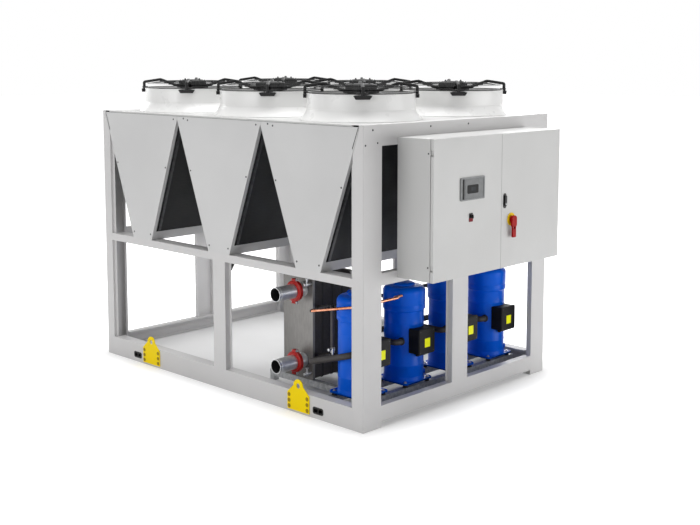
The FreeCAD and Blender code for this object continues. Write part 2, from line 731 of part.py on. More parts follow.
end_strip = prism("end_strip", "XZ_Plane", [slanted(COIL_BAND + S.panel_sheet)],
                  -FIN_REACH - S.coil_plate_width, -FIN_REACH)
node("coil_end_plates", group(in_every_module(end_strip) + in_every_module(mirrored(end_strip, ACROSS))))


HEADER_EDGE = -FIN_REACH - S.coil_plate_width - S.seam_gap
HEADER_BAND = S.header_side * SLANT


def header_bar():
    """A coil's header, in line with the middle of its fins."""
    start = (COIL_BAND - HEADER_BAND) / 2
    outline = [(across - start, up) for across, up in slanted(HEADER_BAND)]
    return prism("header_bar", "XZ_Plane", [outline], HEADER_EDGE - S.header_side, HEADER_EDGE)


header = header_bar()
node("coil_headers", group(in_every_module(header) + in_every_module(mirrored(header, ACROSS))))


def trough():
    half, wall = S.panel_gap / 2, S.panel_sheet * SLANT
    top = FOOT_LEVEL + S.trough_height
    floor = FOOT_LEVEL + S.panel_sheet
    right = [(module_edge(FOOT_LEVEL) - half, FOOT_LEVEL), (module_edge(top) - half, top),
             (module_edge(top) - half - wall, top), (module_edge(floor) - half - wall, floor)]
    left = [(-across, up) for across, up in reversed(right)]
    reach = S.frame_width / 2 - S.panel_return - S.seam_gap
    return prism("trough", "XZ_Plane", [right + left], -reach, reach)


tray = trough()
node("coil_troughs", group([moved(tray, x=S.module_pitch * place) for place in MODULES]))


# Fan deck: one plate over each module, with two fan openings

def deck_plate(low, high, middle):
    t, wide = S.deck_sheet, S.frame_width / 2
    top, lip = S.frame_height, S.frame_height - S.deck_lip
    section = [(-wide, lip), (-wide, top), (wide, top), (wide, lip), (wide - t, lip), (wide - t, top - t),
               (t - wide, top - t), (t - wide, lip)]
    body = prism("deck_plate", "YZ_Plane", [section], low, high)
    openings = [octagon(middle, sign * S.fan_row_spacing / 2, S.deck_hole_radius) for sign in (-1, 1)]
    cut_prism(body, "XY_Plane", openings, top - t * 2, top + t)
    return body


half_seam = S.seam_gap / 2
outer_plate = deck_plate(S.module_pitch / 2 + half_seam, RAIL_END, S.module_pitch)
middle_plate = deck_plate(half_seam - S.module_pitch / 2, S.module_pitch / 2 - half_seam, as_size(0))
node("deck_plates", group(both_ends(outer_plate) + [middle_plate]))


# Fans: nozzle, guard, motor and impeller, each about its own axis

FAN_PLACES = [(S.module_pitch * along, sign * S.fan_row_spacing / 2)
              for along in (1, 0, -1) for sign in (-1, 1)]
RIM = S.frame_height + S.nozzle_height
FLARE_TOP = S.frame_height + S.nozzle_flare
NOZZLE_FLATS = 24
GUARD_FLATS = 16
MOTOR_FLATS = 18
DISC_FLATS = 24


def ring_line(radius, level):
    """A level outline with flats, as one section of a nozzle."""
    line = doc.addObject("Part::RegularPolygon", "ring_line")
    line.Polygon = NOZZLE_FLATS
    bind(line, "Circumradius", radius)
    bind(line, "Placement.Base.z", level)
    return line


WAIST_SPREAD, WAIST_RISE = 0.3, 0.36


def nozzle():
    """A rolled ring that flares out towards the deck, open from end to end."""
    outer, foot = S.nozzle_radius, S.nozzle_foot_radius
    waist = outer + (foot - outer) * WAIST_SPREAD
    wall = doc.addObject("Part::Loft", "nozzle_wall")
    waist_level = S.frame_height + S.nozzle_flare * WAIST_RISE
    wall.Sections = [ring_line(foot, S.frame_height), ring_line(waist, waist_level),
                     ring_line(outer, FLARE_TOP), ring_line(outer, RIM)]
    wall.Solid = wall.Ruled = True
    bore = doc.addObject("Part::Prism", "nozzle_bore")
    bore.Polygon = NOZZLE_FLATS
    bind(bore, "Circumradius", outer - S.nozzle_sheet)
    bind(bore, "Height", S.nozzle_height + S.cut_margin * 2)
    bind(bore, "Placement.Base.z", S.frame_height - S.cut_margin)
    ring = doc.addObject("Part::Cut", "nozzle")
    ring.Base, ring.Tool = wall, bore
    return ring


nozzle_master = nozzle()
for number, (x, y) in enumerate(FAN_PLACES, start=1):
    node(f"fan_nozzle_{number}", moved(nozzle_master, x=x, y=y))


def guard():
    """Four arms that carry the motor, tied by a ring and clamped to the nozzle's rim."""
    body = new_body("guard")
    inner, depth = S.motor_radius + S.seam_gap, S.guard_arm_depth
    hub_level, peak_level = RIM + S.guard_hub_level, RIM + S.guard_peak_level
    leg_in = S.nozzle_radius + S.seam_gap
    leg_out, end_level = leg_in + S.guard_leg, RIM + S.guard_end_level
    foot_low = RIM - S.guard_drop
    foot_high = foot_low + S.guard_foot_height
    profile = [
        (inner, hub_level - depth), (S.guard_peak_radius, peak_level - depth), (leg_in, end_level - depth),
        (leg_in, foot_low), (leg_out, foot_low), (leg_out, end_level), (S.guard_peak_radius, peak_level),
        (inner, hub_level),
    ]
    half = S.guard_arm_width / 2
    arm = add_prism(body, "XZ_Plane", [profile], -half, half)
    wide = S.guard_foot_width / 2
    foot_outline = [(-wide * 0.77, foot_low), (wide * 0.77, foot_low), (wide, foot_high), (-wide, foot_high)]
    foot = add_prism(body, "YZ_Plane", [foot_outline], leg_in, leg_out - S.nozzle_sheet)
    polar(body, [arm, foot], 4)
    low = peak_level - depth - S.guard_wire / 2
    rings = [many_sided(as_size(0), as_size(0), S.guard_peak_radius + sign * S.guard_wire / 2, GUARD_FLATS)
             for sign in (-1, 1)]
    add_prism(body, "XY_Plane", rings, low, low + S.guard_wire)
    body.Placement.Rotation = FreeCAD.Rotation(FreeCAD.Vector(0, 0, 1), 45)
    return body


guard_master = guard()
node("fan_guards", group([moved(guard_master, x=x, y=y) for x, y in FAN_PLACES]))


def motor():
    """An external-rotor motor: a ribbed housing, drawn with flats, and its smaller top cover."""
    low, high = RIM + S.seam_gap, RIM + S.motor_body_height
    housing, cover = [many_sided(as_size(0), as_size(0), radius, MOTOR_FLATS)
                      for radius in (S.motor_radius, S.motor_top_radius)]
    body = prism("motor", "XY_Plane", [housing], low, high)
    add_prism(body, "XY_Plane", [cover], high, high + S.motor_top_height)
    return body


motor_master = motor()
node("fan_motors", group([moved(motor_master, x=x, y=y) for x, y in FAN_PLACES]))


BLADES = 5
CAMBER_STEPS = (-1, -0.35, 0.35, 1)
HUB_LOW = RIM - S.hub_height


def impeller():
    """The motor's rotor with cambered blades, cut to a swept outline and spaced round the hub."""
    hub = cylinder("hub", S.hub_radius, S.hub_height, 0, 0, HUB_LOW)
    level, chord = HUB_LOW + S.hub_height / 2, S.blade_half_chord
    t = S.blade_sheet / 2
    camber = [(chord * share, level + S.blade_rise * share - S.blade_camber * (1 - share * share))
              for share in CAMBER_STEPS]
    section = [(y, z - t) for y, z in camber] + [(y, z + t) for y, z in reversed(camber)]
    root = S.hub_radius * 0.8
    stock = prism("blade_stock", "YZ_Plane", [section], root, S.blade_tip)
    half, sweep = chord * 0.5, S.blade_sweep
    middle = (S.hub_radius + S.blade_tip) / 2
    outline = [
        (root, -half), (middle, -chord * 0.75), (S.blade_tip, sweep * 0.2 - chord),
        (S.blade_tip, chord - sweep), (middle, chord * 0.9), (root, half),
    ]
    planform = prism("blade_planform", "XY_Plane", [outline], HUB_LOW, HUB_LOW + S.hub_height)
    blade = doc.addObject("Part::Common", "blade")
    blade.Base, blade.Tool = stock, planform
    turned = []
    for place in range(BLADES):
        copy = moved(blade)
        copy.Placement.Rotation = FreeCAD.Rotation(FreeCAD.Vector(0, 0, 1), 360 / BLADES * place)
        turned.append(copy)
    whole = doc.addObject("Part::MultiFuse", "impeller")
    whole.Shapes = [hub] + turned
    return whole


impeller_master = impeller()
for number, (x, y) in enumerate(FAN_PLACES, start=1):
    node(f"fan_impeller_{number}", moved(impeller_master, x=x, y=y))


# Control cabinet on the short side

CABINET_LEFT = S.cabinet_shift - S.cabinet_width / 2
CABINET_RIGHT = S.cabinet_shift + S.cabinet_width / 2
CABINET_HIGH = S.frame_height - S.cabinet_drop
CABINET_LOW = CABINET_HIGH - S.cabinet_height
DISPLAY_LEVEL = CABINET_LOW + S.display_level
SELECTOR_LEVEL = CABINET_LOW + S.selector_level
ISOLATOR_LEVEL = CABINET_LOW + S.isolator_level
LEVER_LEVEL = CABINET_LOW + S.lever_level
FACE = END + S.cabinet_depth
SHELL_FRONT = FACE - S.door_depth - S.door_gap
SEAM = S.cabinet_shift + S.door_seam_shift
HINGE_LEVELS = (CABINET_LOW + S.hinge_offset, CABINET_HIGH - S.hinge_offset)
HINGE_X = FACE - S.hinge_inset


def cabinet_shell():
    t, flange = S.cabinet_sheet, S.cabinet_flange
    outer = rectangle(CABINET_LEFT, CABINET_RIGHT, CABINET_LOW, CABINET_HIGH)
    inner = rectangle(CABINET_LEFT + t, CABINET_RIGHT - t, CABINET_LOW + t, CABINET_HIGH - t)
    mouth = rectangle(CABINET_LEFT + flange, CABINET_RIGHT - flange, CABINET_LOW + flange,
                      CABINET_HIGH - flange)
    body = prism("cabinet_shell", "YZ_Plane", [outer], END, SHELL_FRONT)
    cut_prism(body, "YZ_Plane", [inner], END + t, SHELL_FRONT)
    add_prism(body, "YZ_Plane", [outer, mouth], SHELL_FRONT - t, SHELL_FRONT)
    return body


node("cabinet_shell", cabinet_shell())


def hinge(axis_y, outward, level):
    """A hinge bracket on the cabinet's front flange, with its fixed pin."""
    half, arm = S.hinge_half_height, S.hinge_arm / 2
    plate_out, plate_in = axis_y + outward * S.hinge_inset * 0.8, axis_y - outward * S.hinge_inset * 1.1
    left, right = (plate_out, plate_in) if outward < 0 else (plate_in, plate_out)
    body = prism("hinge", "YZ_Plane", [rectangle(left, right, level - half, level + half)],
                 SHELL_FRONT, SHELL_FRONT + S.cabinet_sheet)
    add_prism(body, "XY_Plane", [rectangle(SHELL_FRONT, HINGE_X, axis_y - arm, axis_y + arm)],
              level - half, level + half)
    add_prism(body, "XY_Plane", [("circle", HINGE_X, axis_y, S.hinge_pin_radius)],
              level, level + half + S.knuckle_height)
    return body


LEFT_AXIS = CABINET_LEFT + S.hinge_inset
RIGHT_AXIS = CABINET_RIGHT - S.hinge_inset
node("cabinet_hinges", group([hinge(axis, outward, level)
                              for axis, outward in ((LEFT_AXIS, -1), (RIGHT_AXIS, 1))
                              for level in HINGE_LEVELS]))


def door(name, left, right, axis_y, edge_low, edge_high):
    """A folded door pan; the knuckle over each hinge arm carries it and lets it lift off."""
    t, back = S.door_sheet, FACE - S.door_depth
    body = prism(name, "YZ_Plane", [rectangle(left, right, CABINET_LOW, CABINET_HIGH)], back, FACE)
    inside = rectangle(left + t, right - t, CABINET_LOW + t, CABINET_HIGH - t)
    cut_prism(body, "YZ_Plane", [inside], back, FACE - t)
    notch = S.hinge_half_height + S.door_gap
    notches = [rectangle(edge_low, edge_high, level - notch, level + notch) for level in HINGE_LEVELS]
    cut_prism(body, "YZ_Plane", notches, back, FACE - t)
    half = S.knuckle_side / 2
    knuckle = rectangle(HINGE_X - half, FACE - t / 2, axis_y - half, axis_y + half)
    bore = ("circle", HINGE_X, axis_y, S.hinge_pin_radius + S.running_clearance)
    for level in HINGE_LEVELS:
        low = level + S.hinge_half_height + S.seam_gap
        add_prism(body, "XY_Plane", [knuckle, bore], low, low + S.knuckle_height)
    return body


SPINDLE_BORE = S.spindle_radius + S.running_clearance
left_door = door("left_door", CABINET_LEFT, SEAM - S.door_seam / 2, LEFT_AXIS,
                 CABINET_LEFT - S.cut_margin, CABINET_LEFT + S.door_sheet + S.cut_margin)
cutout = rectangle(S.display_shift - S.display_width * 0.42, S.display_shift + S.display_width * 0.42,
                   DISPLAY_LEVEL - S.display_height * 0.4, DISPLAY_LEVEL + S.display_height * 0.4)
selector_bore = ("circle", S.selector_shift, SELECTOR_LEVEL, SPINDLE_BORE)
cut_prism(left_door, "YZ_Plane", [cutout, selector_bore], FACE - S.door_depth, FACE + S.cut_margin)
node("left_door", left_door)

right_door = door("right_door", SEAM + S.door_seam / 2, CABINET_RIGHT, RIGHT_AXIS,
                  CABINET_RIGHT - S.door_sheet - S.cut_margin, CABINET_RIGHT + S.cut_margin)
LEVER_PIVOT = LEVER_LEVEL + S.lever_height / 4
isolator_bore = ("circle", S.isolator_shift, ISOLATOR_LEVEL, SPINDLE_BORE)
lever_bore = ("circle", S.lever_shift, LEVER_PIVOT, SPINDLE_BORE)
cut_prism(right_door, "YZ_Plane", [isolator_bore, lever_bore], FACE - S.door_depth, FACE + S.cut_margin)
node("right_door", right_door)


# Display, selector, isolator and lever on the doors

def display():
    bezel = rounded(S.display_shift, DISPLAY_LEVEL, S.display_width, S.display_height, S.display_depth)
    window = rectangle(S.display_shift - S.screen_width / 2, S.display_shift + S.screen_width / 2,
                       DISPLAY_LEVEL - S.screen_height / 2, DISPLAY_LEVEL + S.screen_height / 2)
    box = rectangle(S.display_shift - S.display_width * 0.42 + S.seam_gap,
                    S.display_shift + S.display_width * 0.42 - S.seam_gap,
                    DISPLAY_LEVEL - S.display_height * 0.4 + S.seam_gap,
                    DISPLAY_LEVEL + S.display_height * 0.4 - S.seam_gap)
    body = prism("display", "YZ_Plane", [bezel], FACE, FACE + S.display_depth)
    add_prism(body, "YZ_Plane", [box], FACE - S.door_depth * 0.8, FACE)
    cut_prism(body, "YZ_Plane", [window], FACE + S.display_depth * 0.7, FACE + S.display_depth)
    return body


node("control_display", display())

PLATE_FACE = FACE + S.plate_depth
SPINDLE_END = FACE - S.door_depth * 0.8


def spindle(body, y, z, front):
    add_prism(body, "YZ_Plane", [("circle", y, z, S.spindle_radius)], SPINDLE_END, front)


selector_plate = prism(
    "selector_plate", "YZ_Plane",
    [chamfered(S.selector_shift, SELECTOR_LEVEL - S.selector_radius / 2, S.selector_radius * 3,
               S.selector_radius * 4.6, S.selector_radius * 0.4),
     ("circle", S.selector_shift, SELECTOR_LEVEL, SPINDLE_BORE)], FACE, PLATE_FACE)
node("selector_plate", selector_plate)


def selector_knob():
    y, z, radius = S.selector_shift, SELECTOR_LEVEL, S.selector_radius
    base = PLATE_FACE + S.seam_gap
    body = prism("selector_knob", "YZ_Plane", [octagon(y, z, radius)], base, base + radius * 0.6)
    wing = chamfered(y, z, radius * 0.6, radius * 1.8, radius * 0.15)
    add_prism(body, "YZ_Plane", [wing], base, base + radius * 1.4)
    spindle(body, y, z, base)
    return body


node("selector_knob", selector_knob())

isolator_plate = prism(
    "isolator_plate", "YZ_Plane",
    [many_sided(S.isolator_shift, ISOLATOR_LEVEL, S.isolator_disc_radius, DISC_FLATS),
     ("circle", S.isolator_shift, ISOLATOR_LEVEL, SPINDLE_BORE)], FACE, PLATE_FACE)
node("isolator_plate", isolator_plate)


def isolator_handle():
    y, z, half = S.isolator_shift, ISOLATOR_LEVEL, S.isolator_handle_width / 2
    base = PLATE_FACE + S.seam_gap
    body = prism("isolator_handle", "YZ_Plane", [octagon(y, z, S.isolator_disc_radius * 0.64)],
                 base, base + S.isolator_handle_depth * 0.5)
    toe, tip = half * 0.7, z - S.isolator_reach
    grip = [(y + toe, tip), (y + half, z), (y + half, z + half * 0.5), (y + half * 0.5, z + half),
            (y - half * 0.5, z + half), (y - half, z + half * 0.5), (y - half, z), (y - toe, tip)]
    add_prism(body, "YZ_Plane", [grip], base + S.isolator_handle_depth * 0.3, base + S.isolator_handle_depth)
    spindle(body, y, z, base)
    return body


node("isolator_handle", isolator_handle())

pill = chamfered(S.lever_shift, LEVER_LEVEL, S.lever_width, S.lever_height, S.lever_width * 0.3)
node("lever_plate", prism("lever_plate", "YZ_Plane",
                          [pill, ("circle", S.lever_shift, LEVER_PIVOT, SPINDLE_BORE)], FACE, PLATE_FACE))


def door_lever():
    y, z = S.lever_shift, LEVER_PIVOT
    base = PLATE_FACE + S.seam_gap
    width, reach = S.lever_width * 0.55, S.lever_height * 0.68
    hub = octagon(y, z, S.lever_width * 0.34)
    body = prism("door_lever", "YZ_Plane", [hub], base, base + S.plate_depth * 2)
    bar = chamfered(y, z - reach / 2 + width / 2, width, reach, width * 0.3)
    add_prism(body, "YZ_Plane", [bar], base + S.plate_depth, base + S.plate_depth * 3)
    spindle(body, y, z, base)
    cam = rectangle(y - width / 2, y + width / 2, z - reach * 0.6, z + width / 2)
    add_prism(body, "YZ_Plane", [cam], SPINDLE_END, SPINDLE_END + S.plate_depth)
    return body


node("door_lever", door_lever())


# Inside the cabinet

PLATE_BACK = END + S.cabinet_sheet + S.mounting_standoff
GEAR_BACK = PLATE_BACK + S.mounting_sheet


def mounting_plate():
    margin = S.mounting_margin
    outline = rectangle(CABINET_LEFT + margin, CABINET_RIGHT - margin, CABINET_LOW + margin,
                        CABINET_HIGH - margin)
    body = prism("mounting_plate", "YZ_Plane", [outline], PLATE_BACK, GEAR_BACK)
    studs = [octagon(across, up, S.spindle_radius)
             for across in (CABINET_LEFT + margin * 1.4, CABINET_RIGHT - margin * 1.4)
             for up in (CABINET_LOW + margin * 1.4, CABINET_HIGH - margin * 1.4)]
    add_prism(body, "YZ_Plane", studs, END + S.cabinet_sheet, PLATE_BACK)
    return body


node("mounting_plate", mounting_plate())


def gear_block(across, up, width, height, depth):
    """One device on the mounting plate; places and sizes are shares of the cabinet's inside."""
    middle = S.cabinet_shift + S.cabinet_width * across
    level = CABINET_LOW + S.cabinet_height * up
    wide, high = S.cabinet_width * width / 2, S.cabinet_height * height / 2
    outline = rectangle(middle - wide, middle + wide, level - high, level + high)
    return prism("gear_block", "YZ_Plane", [outline], GEAR_BACK, GEAR_BACK + S.cabinet_depth * depth)


GEAR = [(-0.36 + 0.045 * place, 0.80, 0.04, 0.11, 0.26) for place in range(7)]
GEAR += [(-0.35 + 0.07 * place, 0.52, 0.058, 0.15, 0.36) for place in range(5)]
GEAR += [(0.16, 0.74, 0.16, 0.26, 0.45), (0.34, 0.74, 0.13, 0.26, 0.45), (-0.22, 0.24, 0.30, 0.14, 0.3),
         (0.16, 0.40, 0.10, 0.16, 0.3), (0.32, 0.36, 0.16, 0.24, 0.4),
         (-0.2, 0.67, 0.42, 0.035, 0.2), (-0.2, 0.38, 0.42, 0.035, 0.2)]
node("electrical_gear", group([gear_block(*block) for block in GEAR]))


# Equipment skid and the compressors on rubber mounts

COMPRESSOR_X = END - S.compressor_setback
EVAPORATOR_X = END - S.evaporator_setback
COMPRESSOR_ROW = [S.compressor_shift + circuit * S.circuit_spacing / 2 + along * S.tandem_spacing
                  for circuit, along in ((-1, -1), (-1, 0), (1, 0), (1, 1))]
SKID_TOP = S.skid_level + S.skid_tube


def tube_loops(across, up, side):
    t, half = S.frame_sheet, side / 2
    return [rectangle(across - half, across + half, up - half, up + half),
            rectangle(across - half + t, across + half - t, up - half + t, up + half - t)]


def skid():
    half, middle = S.mount_spacing / 2, S.skid_level + S.skid_tube / 2
    back, front = COMPRESSOR_X - half, COMPRESSOR_X + half
    rails = [prism("skid_rail", "XZ_Plane", tube_loops(x, middle, S.skid_tube), -S.skid_reach, S.skid_reach)
             for x in (back, front)]
    near = SIDE + S.evaporator_front + S.skid_tube / 2
    far = near + S.evaporator_depth - S.skid_tube
    end = back - S.skid_tube / 2
    start = EVAPORATOR_X - S.evaporator_width
    rails += [prism("skid_rail", "YZ_Plane", tube_loops(y, middle, S.skid_tube), start, end)
              for y in (near, far)]
    tube, floor = S.skid_tube / 2, PAN_LEVEL + S.frame_sheet
    legs = [prism("skid_leg", "XZ_Plane", [rectangle(x - tube, x + tube, floor, S.skid_level)],
                  y - tube, y + tube)
            for x in (back, front) for y in (tube - S.skid_reach, as_size(0), S.skid_reach - tube)]
    legs += [prism("skid_leg", "XZ_Plane",
                   [rectangle(start, start + S.skid_tube, PAN_LEVEL + S.frame_sheet, S.skid_level)],
                   y - S.skid_tube / 2, y + S.skid_tube / 2) for y in (near, far)]
    return group(rails + legs)


node("equipment_skid", skid())

def rubber_mount(x, y):
    half = S.mount_side / 2
    return prism("rubber_mount", "XY_Plane", [rectangle(x - half, x + half, y - half, y + half)],
                 SKID_TOP, S.compressor_level)


node("rubber_mounts", group([
    rubber_mount(COMPRESSOR_X + side * S.mount_spacing / 2, y + across * S.mount_spacing / 2)
    for y in COMPRESSOR_ROW for side in (-1, 1) for across in (-1, 1)]))


def compressor():
    """A scroll compressor: square foot, shell, and a wider cap with a domed top."""
    low = S.compressor_level
    shell, cap = S.compressor_radius, S.compressor_cap_radius
    lip, top = low + S.cap_level, low + S.compressor_height
    body = new_body("compressor")
    add_revolution(body, [[
        (0, low), (shell, low), (shell, lip), (cap, lip),
        (cap, top - cap * 0.4), (cap * 0.6, top), (0, top)]])
    side = S.compressor_foot
    foot = chamfered(as_size(0), as_size(0), side, side, side * 0.1)
    add_prism(body, "XY_Plane", [foot], low, low + S.frame_sheet * 2)
    return body


compressor_master = compressor()
node("compressors", group([moved(compressor_master, x=COMPRESSOR_X, y=y) for y in COMPRESSOR_ROW]))


CASE_SHARE = 0.94


def terminal_box():
    """A box that straddles the shell, with a raised lid."""
    half, high = S.terminal_width / 2, S.terminal_height / 2
    reach, lid = S.terminal_reach, S.frame_sheet * 4
    inner = S.compressor_radius + S.seam_gap
    level = S.terminal_level
    case, cover = [rectangle(-half * share, half * share, level - high * share, level + high * share)
                   for share in (CASE_SHARE, 1)]
    body = prism("terminal_box", "YZ_Plane", [case], inner * 0.7, reach - lid)
    add_prism(body, "YZ_Plane", [cover], reach - lid, reach)
    cut_prism(body, "XY_Plane", [("circle", 0, 0, inner)], level - high, level + high)
    return body


box_master = terminal_box()
node("terminal_boxes", group([moved(box_master, x=COMPRESSOR_X, y=y) for y in COMPRESSOR_ROW]))


# Evaporator: a plate pack between two thick end plates

EVAPORATOR_FRONT = SIDE + S.evaporator_front
EVAPORATOR_BACK = EVAPORATOR_FRONT + S.evaporator_depth
EVAPORATOR_MIDDLE = SKID_TOP + S.evaporator_height / 2
PORT_X = EVAPORATOR_X + S.port_shift


def end_plate_loop():
    return rounded(EVAPORATOR_X, EVAPORATOR_MIDDLE, S.evaporator_width, S.evaporator_height,
                   S.end_plate_corner)


PORT_LEVELS = (S.port_low, S.port_high)
node("evaporator_end_plates", group([
    prism("front_plate", "XZ_Plane", [end_plate_loop()], EVAPORATOR_FRONT, EVAPORATOR_FRONT + S.end_plate),
    prism("back_plate", "XZ_Plane", [end_plate_loop()], EVAPORATOR_BACK - S.end_plate, EVAPORATOR_BACK)]))

node("evaporator_pack", prism(
    "evaporator_pack", "XZ_Plane",
    [rounded(EVAPORATOR_X, EVAPORATOR_MIDDLE, S.evaporator_width - S.pack_margin,
             S.evaporator_height - S.pack_margin, S.end_plate_corner - S.pack_margin / 2)],
    EVAPORATOR_FRONT + S.end_plate, EVAPORATOR_BACK - S.end_plate))

PIPE_END = SIDE + S.water_end


COUPLING_MIDDLE = EVAPORATOR_FRONT - S.coupling_offset


def water_pipe(level, low, high):
    rings = [("circle", PORT_X, level, radius) for radius in (S.water_radius, S.water_radius - S.water_wall)]
    return prism("water_pipe", "XZ_Plane", rings, low, high)


node("water_pipes", group([water_pipe(level, PIPE_END, COUPLING_MIDDLE - S.pipe_joint_gap / 2)
                           for level in PORT_LEVELS]))
node("evaporator_stubs", group([water_pipe(level, COUPLING_MIDDLE + S.pipe_joint_gap / 2, EVAPORATOR_FRONT)
                                for level in PORT_LEVELS]))


OUTSIDE_FLATS = 1 / math.cos(math.pi / DISC_FLATS)


def coupling(level):
    """A grooved coupling: two half rings with bolt ears above and below, drawn with flats."""
    wide, outer = S.coupling_width / 2, S.coupling_radius
    middle = COUPLING_MIDDLE
    ring, bore = [many_sided(PORT_X, level, radius, DISC_FLATS)
                  for radius in (outer, (S.water_radius + S.seam_gap) * OUTSIDE_FLATS)]
    body = prism("coupling", "XZ_Plane", [ring], middle - wide, middle + wide)
    ear = chamfered(PORT_X, level, outer * 0.5, outer * 2.36, outer * 0.1)
    add_prism(body, "XZ_Plane", [ear], middle - wide * 0.7, middle + wide * 0.7)
    cut_prism(body, "XZ_Plane", [bore], middle - wide - S.cut_margin, middle + wide + S.cut_margin)
    return body


node("pipe_couplings", group([coupling(level) for level in PORT_LEVELS]))


# Refrigerant pipes: sections with flats, swept along paths that lie at one level

PIPE_FLATS = 12


def pipe(name, radius, level, corners, first_along_x, rise=0):
    """Sweeps a section along straight runs with mitred corners, in a plane that passes through the
    first corner at a level and rises along X by a share of the way."""
    body = new_body(name)
    path = body.newObject("Sketcher::SketchObject", "path")
    flat = next(item for item in body.Origin.OriginFeatures if item.Role == "XY_Plane")
    path.AttachmentSupport = (flat, [""])
    path.MapMode = "FlatFace"
    rise, start = as_size(rise), as_size(corners[0][0])
    tilt = -math.degrees(math.atan(rise.value))
    turn = FreeCAD.Rotation(FreeCAD.Vector(0, 1, 0), tilt)
    path.AttachmentOffset = FreeCAD.Placement(FreeCAD.Vector(0, 0, 0), turn)
    bind(path, "AttachmentOffset.Base.z", level - start * rise)
    along = root(rise * rise + 1)
    flat_corners = [(x * along, y) for x, y in corners]
    places = [FreeCAD.Vector(as_size(x).value, as_size(y).value, 0) for x, y in flat_corners]
    for index in range(len(places) - 1):
        run = path.addGeometry(Part.LineSegment(places[index], places[index + 1]))
        if index:
            path.addConstraint(Sketcher.Constraint("Coincident", run - 1, 2, run, 1))
        place_corner(path, run, 1, *flat_corners[index])
    place_corner(path, run, 2, *flat_corners[-1])
    x, y = corners[0]
    if first_along_x:
        section = sketch_on(body, "YZ_Plane", x, [many_sided(y, as_size(0), radius, PIPE_FLATS)])
        turn = FreeCAD.Rotation(FreeCAD.Vector(1, 0, 0), tilt)
        section.AttachmentOffset = FreeCAD.Placement(FreeCAD.Vector(0, 0, 0), turn)
        bind(section, "AttachmentOffset.Base.y", level)
    else:
        section = sketch_on(body, "XZ_Plane", -as_size(y), [many_sided(x, level, radius, PIPE_FLATS)])
    sweep = body.newObject("PartDesign::AdditivePipe", "sweep")
    sweep.Profile = section
    sweep.Spine = (path, [f"Edge{number}" for number in range(1, len(places))])
    sweep.Transition = "Right corner"
    body.Tip = sweep
    return body


HEADER_X = END - S.header_setback
SUCTION_FRONT = COMPRESSOR_X + S.suction_offset
EVAPORATOR_SIDE = EVAPORATOR_X + (S.evaporator_width - S.pack_margin) / 2 + S.seam_gap
TAKE_OFF = EVAPORATOR_FRONT + S.end_plate * 3
PIPE_WAY = COMPRESSOR_ROW[0] - S.suction_reach
SUCTION_RISE, COPPER_RISE = 0.3, 0.22


def reach_of(y, radius, line_radius):
    """Where a line beside the compressor's axis, running along Y, meets a shell of that radius."""
    inner = S.suction_offset - line_radius
    return y - root(radius * radius - inner * inner) - S.seam_gap


def start_at_pack(radius, rise):
    """Where a line that rises from the pack's side starts, so that its slanted end stays clear."""
    return EVAPORATOR_SIDE + radius * rise / math.sqrt(1 + rise * rise)


def suction_branch(y):
    """From the shell's near side, past the terminal box, back to the header behind."""
    out, bend = y - S.suction_reach, S.suction_radius * 1.2
    start = reach_of(y, S.compressor_radius, S.suction_radius)
    return pipe("suction_branch", S.suction_radius, S.terminal_level, [
        (SUCTION_FRONT, start), (SUCTION_FRONT, out + bend), (SUCTION_FRONT - bend, out),
        (HEADER_X + S.suction_radius + S.seam_gap, out)], False)


def first_suction():
    """The outermost compressor's line, which rises from the evaporator's side in front of the shell."""
    r, bend = S.suction_radius, S.suction_radius * 1.2
    back = start_at_pack(r, SUCTION_RISE)
    level = S.terminal_level - (SUCTION_FRONT - back) * SUCTION_RISE
    return pipe("first_suction", r, level, [
        (back, TAKE_OFF), (back + r * 4, TAKE_OFF), (back + r * 8, PIPE_WAY),
        (SUCTION_FRONT - bend, PIPE_WAY), (SUCTION_FRONT, PIPE_WAY + bend),
        (SUCTION_FRONT, reach_of(COMPRESSOR_ROW[0], S.compressor_radius, r))], True, SUCTION_RISE)


suction_header = pipe("suction_header", S.suction_radius, S.terminal_level, [
    (HEADER_X, COMPRESSOR_ROW[1] - S.suction_reach - S.suction_radius * 2),
    (HEADER_X, COMPRESSOR_ROW[3] - S.suction_reach + S.suction_radius * 2)], False)
SUCTION_BACK = EVAPORATOR_BACK + S.suction_radius * 4
suction_link = pipe("suction_link", S.suction_radius, S.terminal_level, [
    (HEADER_X - S.suction_radius - S.seam_gap, SUCTION_BACK),
    (EVAPORATOR_X + S.suction_radius * 2, SUCTION_BACK),
    (EVAPORATOR_X, SUCTION_BACK - S.suction_radius * 2),
    (EVAPORATOR_X, EVAPORATOR_BACK + S.seam_gap)], True)
node("suction_lines", group([suction_branch(y) for y in COMPRESSOR_ROW[1:]]
                            + [first_suction(), suction_header, suction_link]))

TOP_PORT = S.compressor_level + S.compressor_height * 0.8
CAP_PORT = S.compressor_level + S.compressor_height * 0.9


def discharge_branch(y):
    """A copper pipe from the cap's side, back to the discharge header."""
    return pipe("discharge_branch", S.copper_radius, TOP_PORT, [
        (COMPRESSOR_X - S.compressor_cap_radius - S.seam_gap, y),
        (HEADER_X + S.copper_radius + S.seam_gap, y)], True)


discharge_header = pipe("discharge_header", S.copper_radius, TOP_PORT, [
    (HEADER_X, COMPRESSOR_ROW[0] - S.copper_radius * 3),
    (HEADER_X, COMPRESSOR_ROW[3] + S.copper_radius * 3)], False)


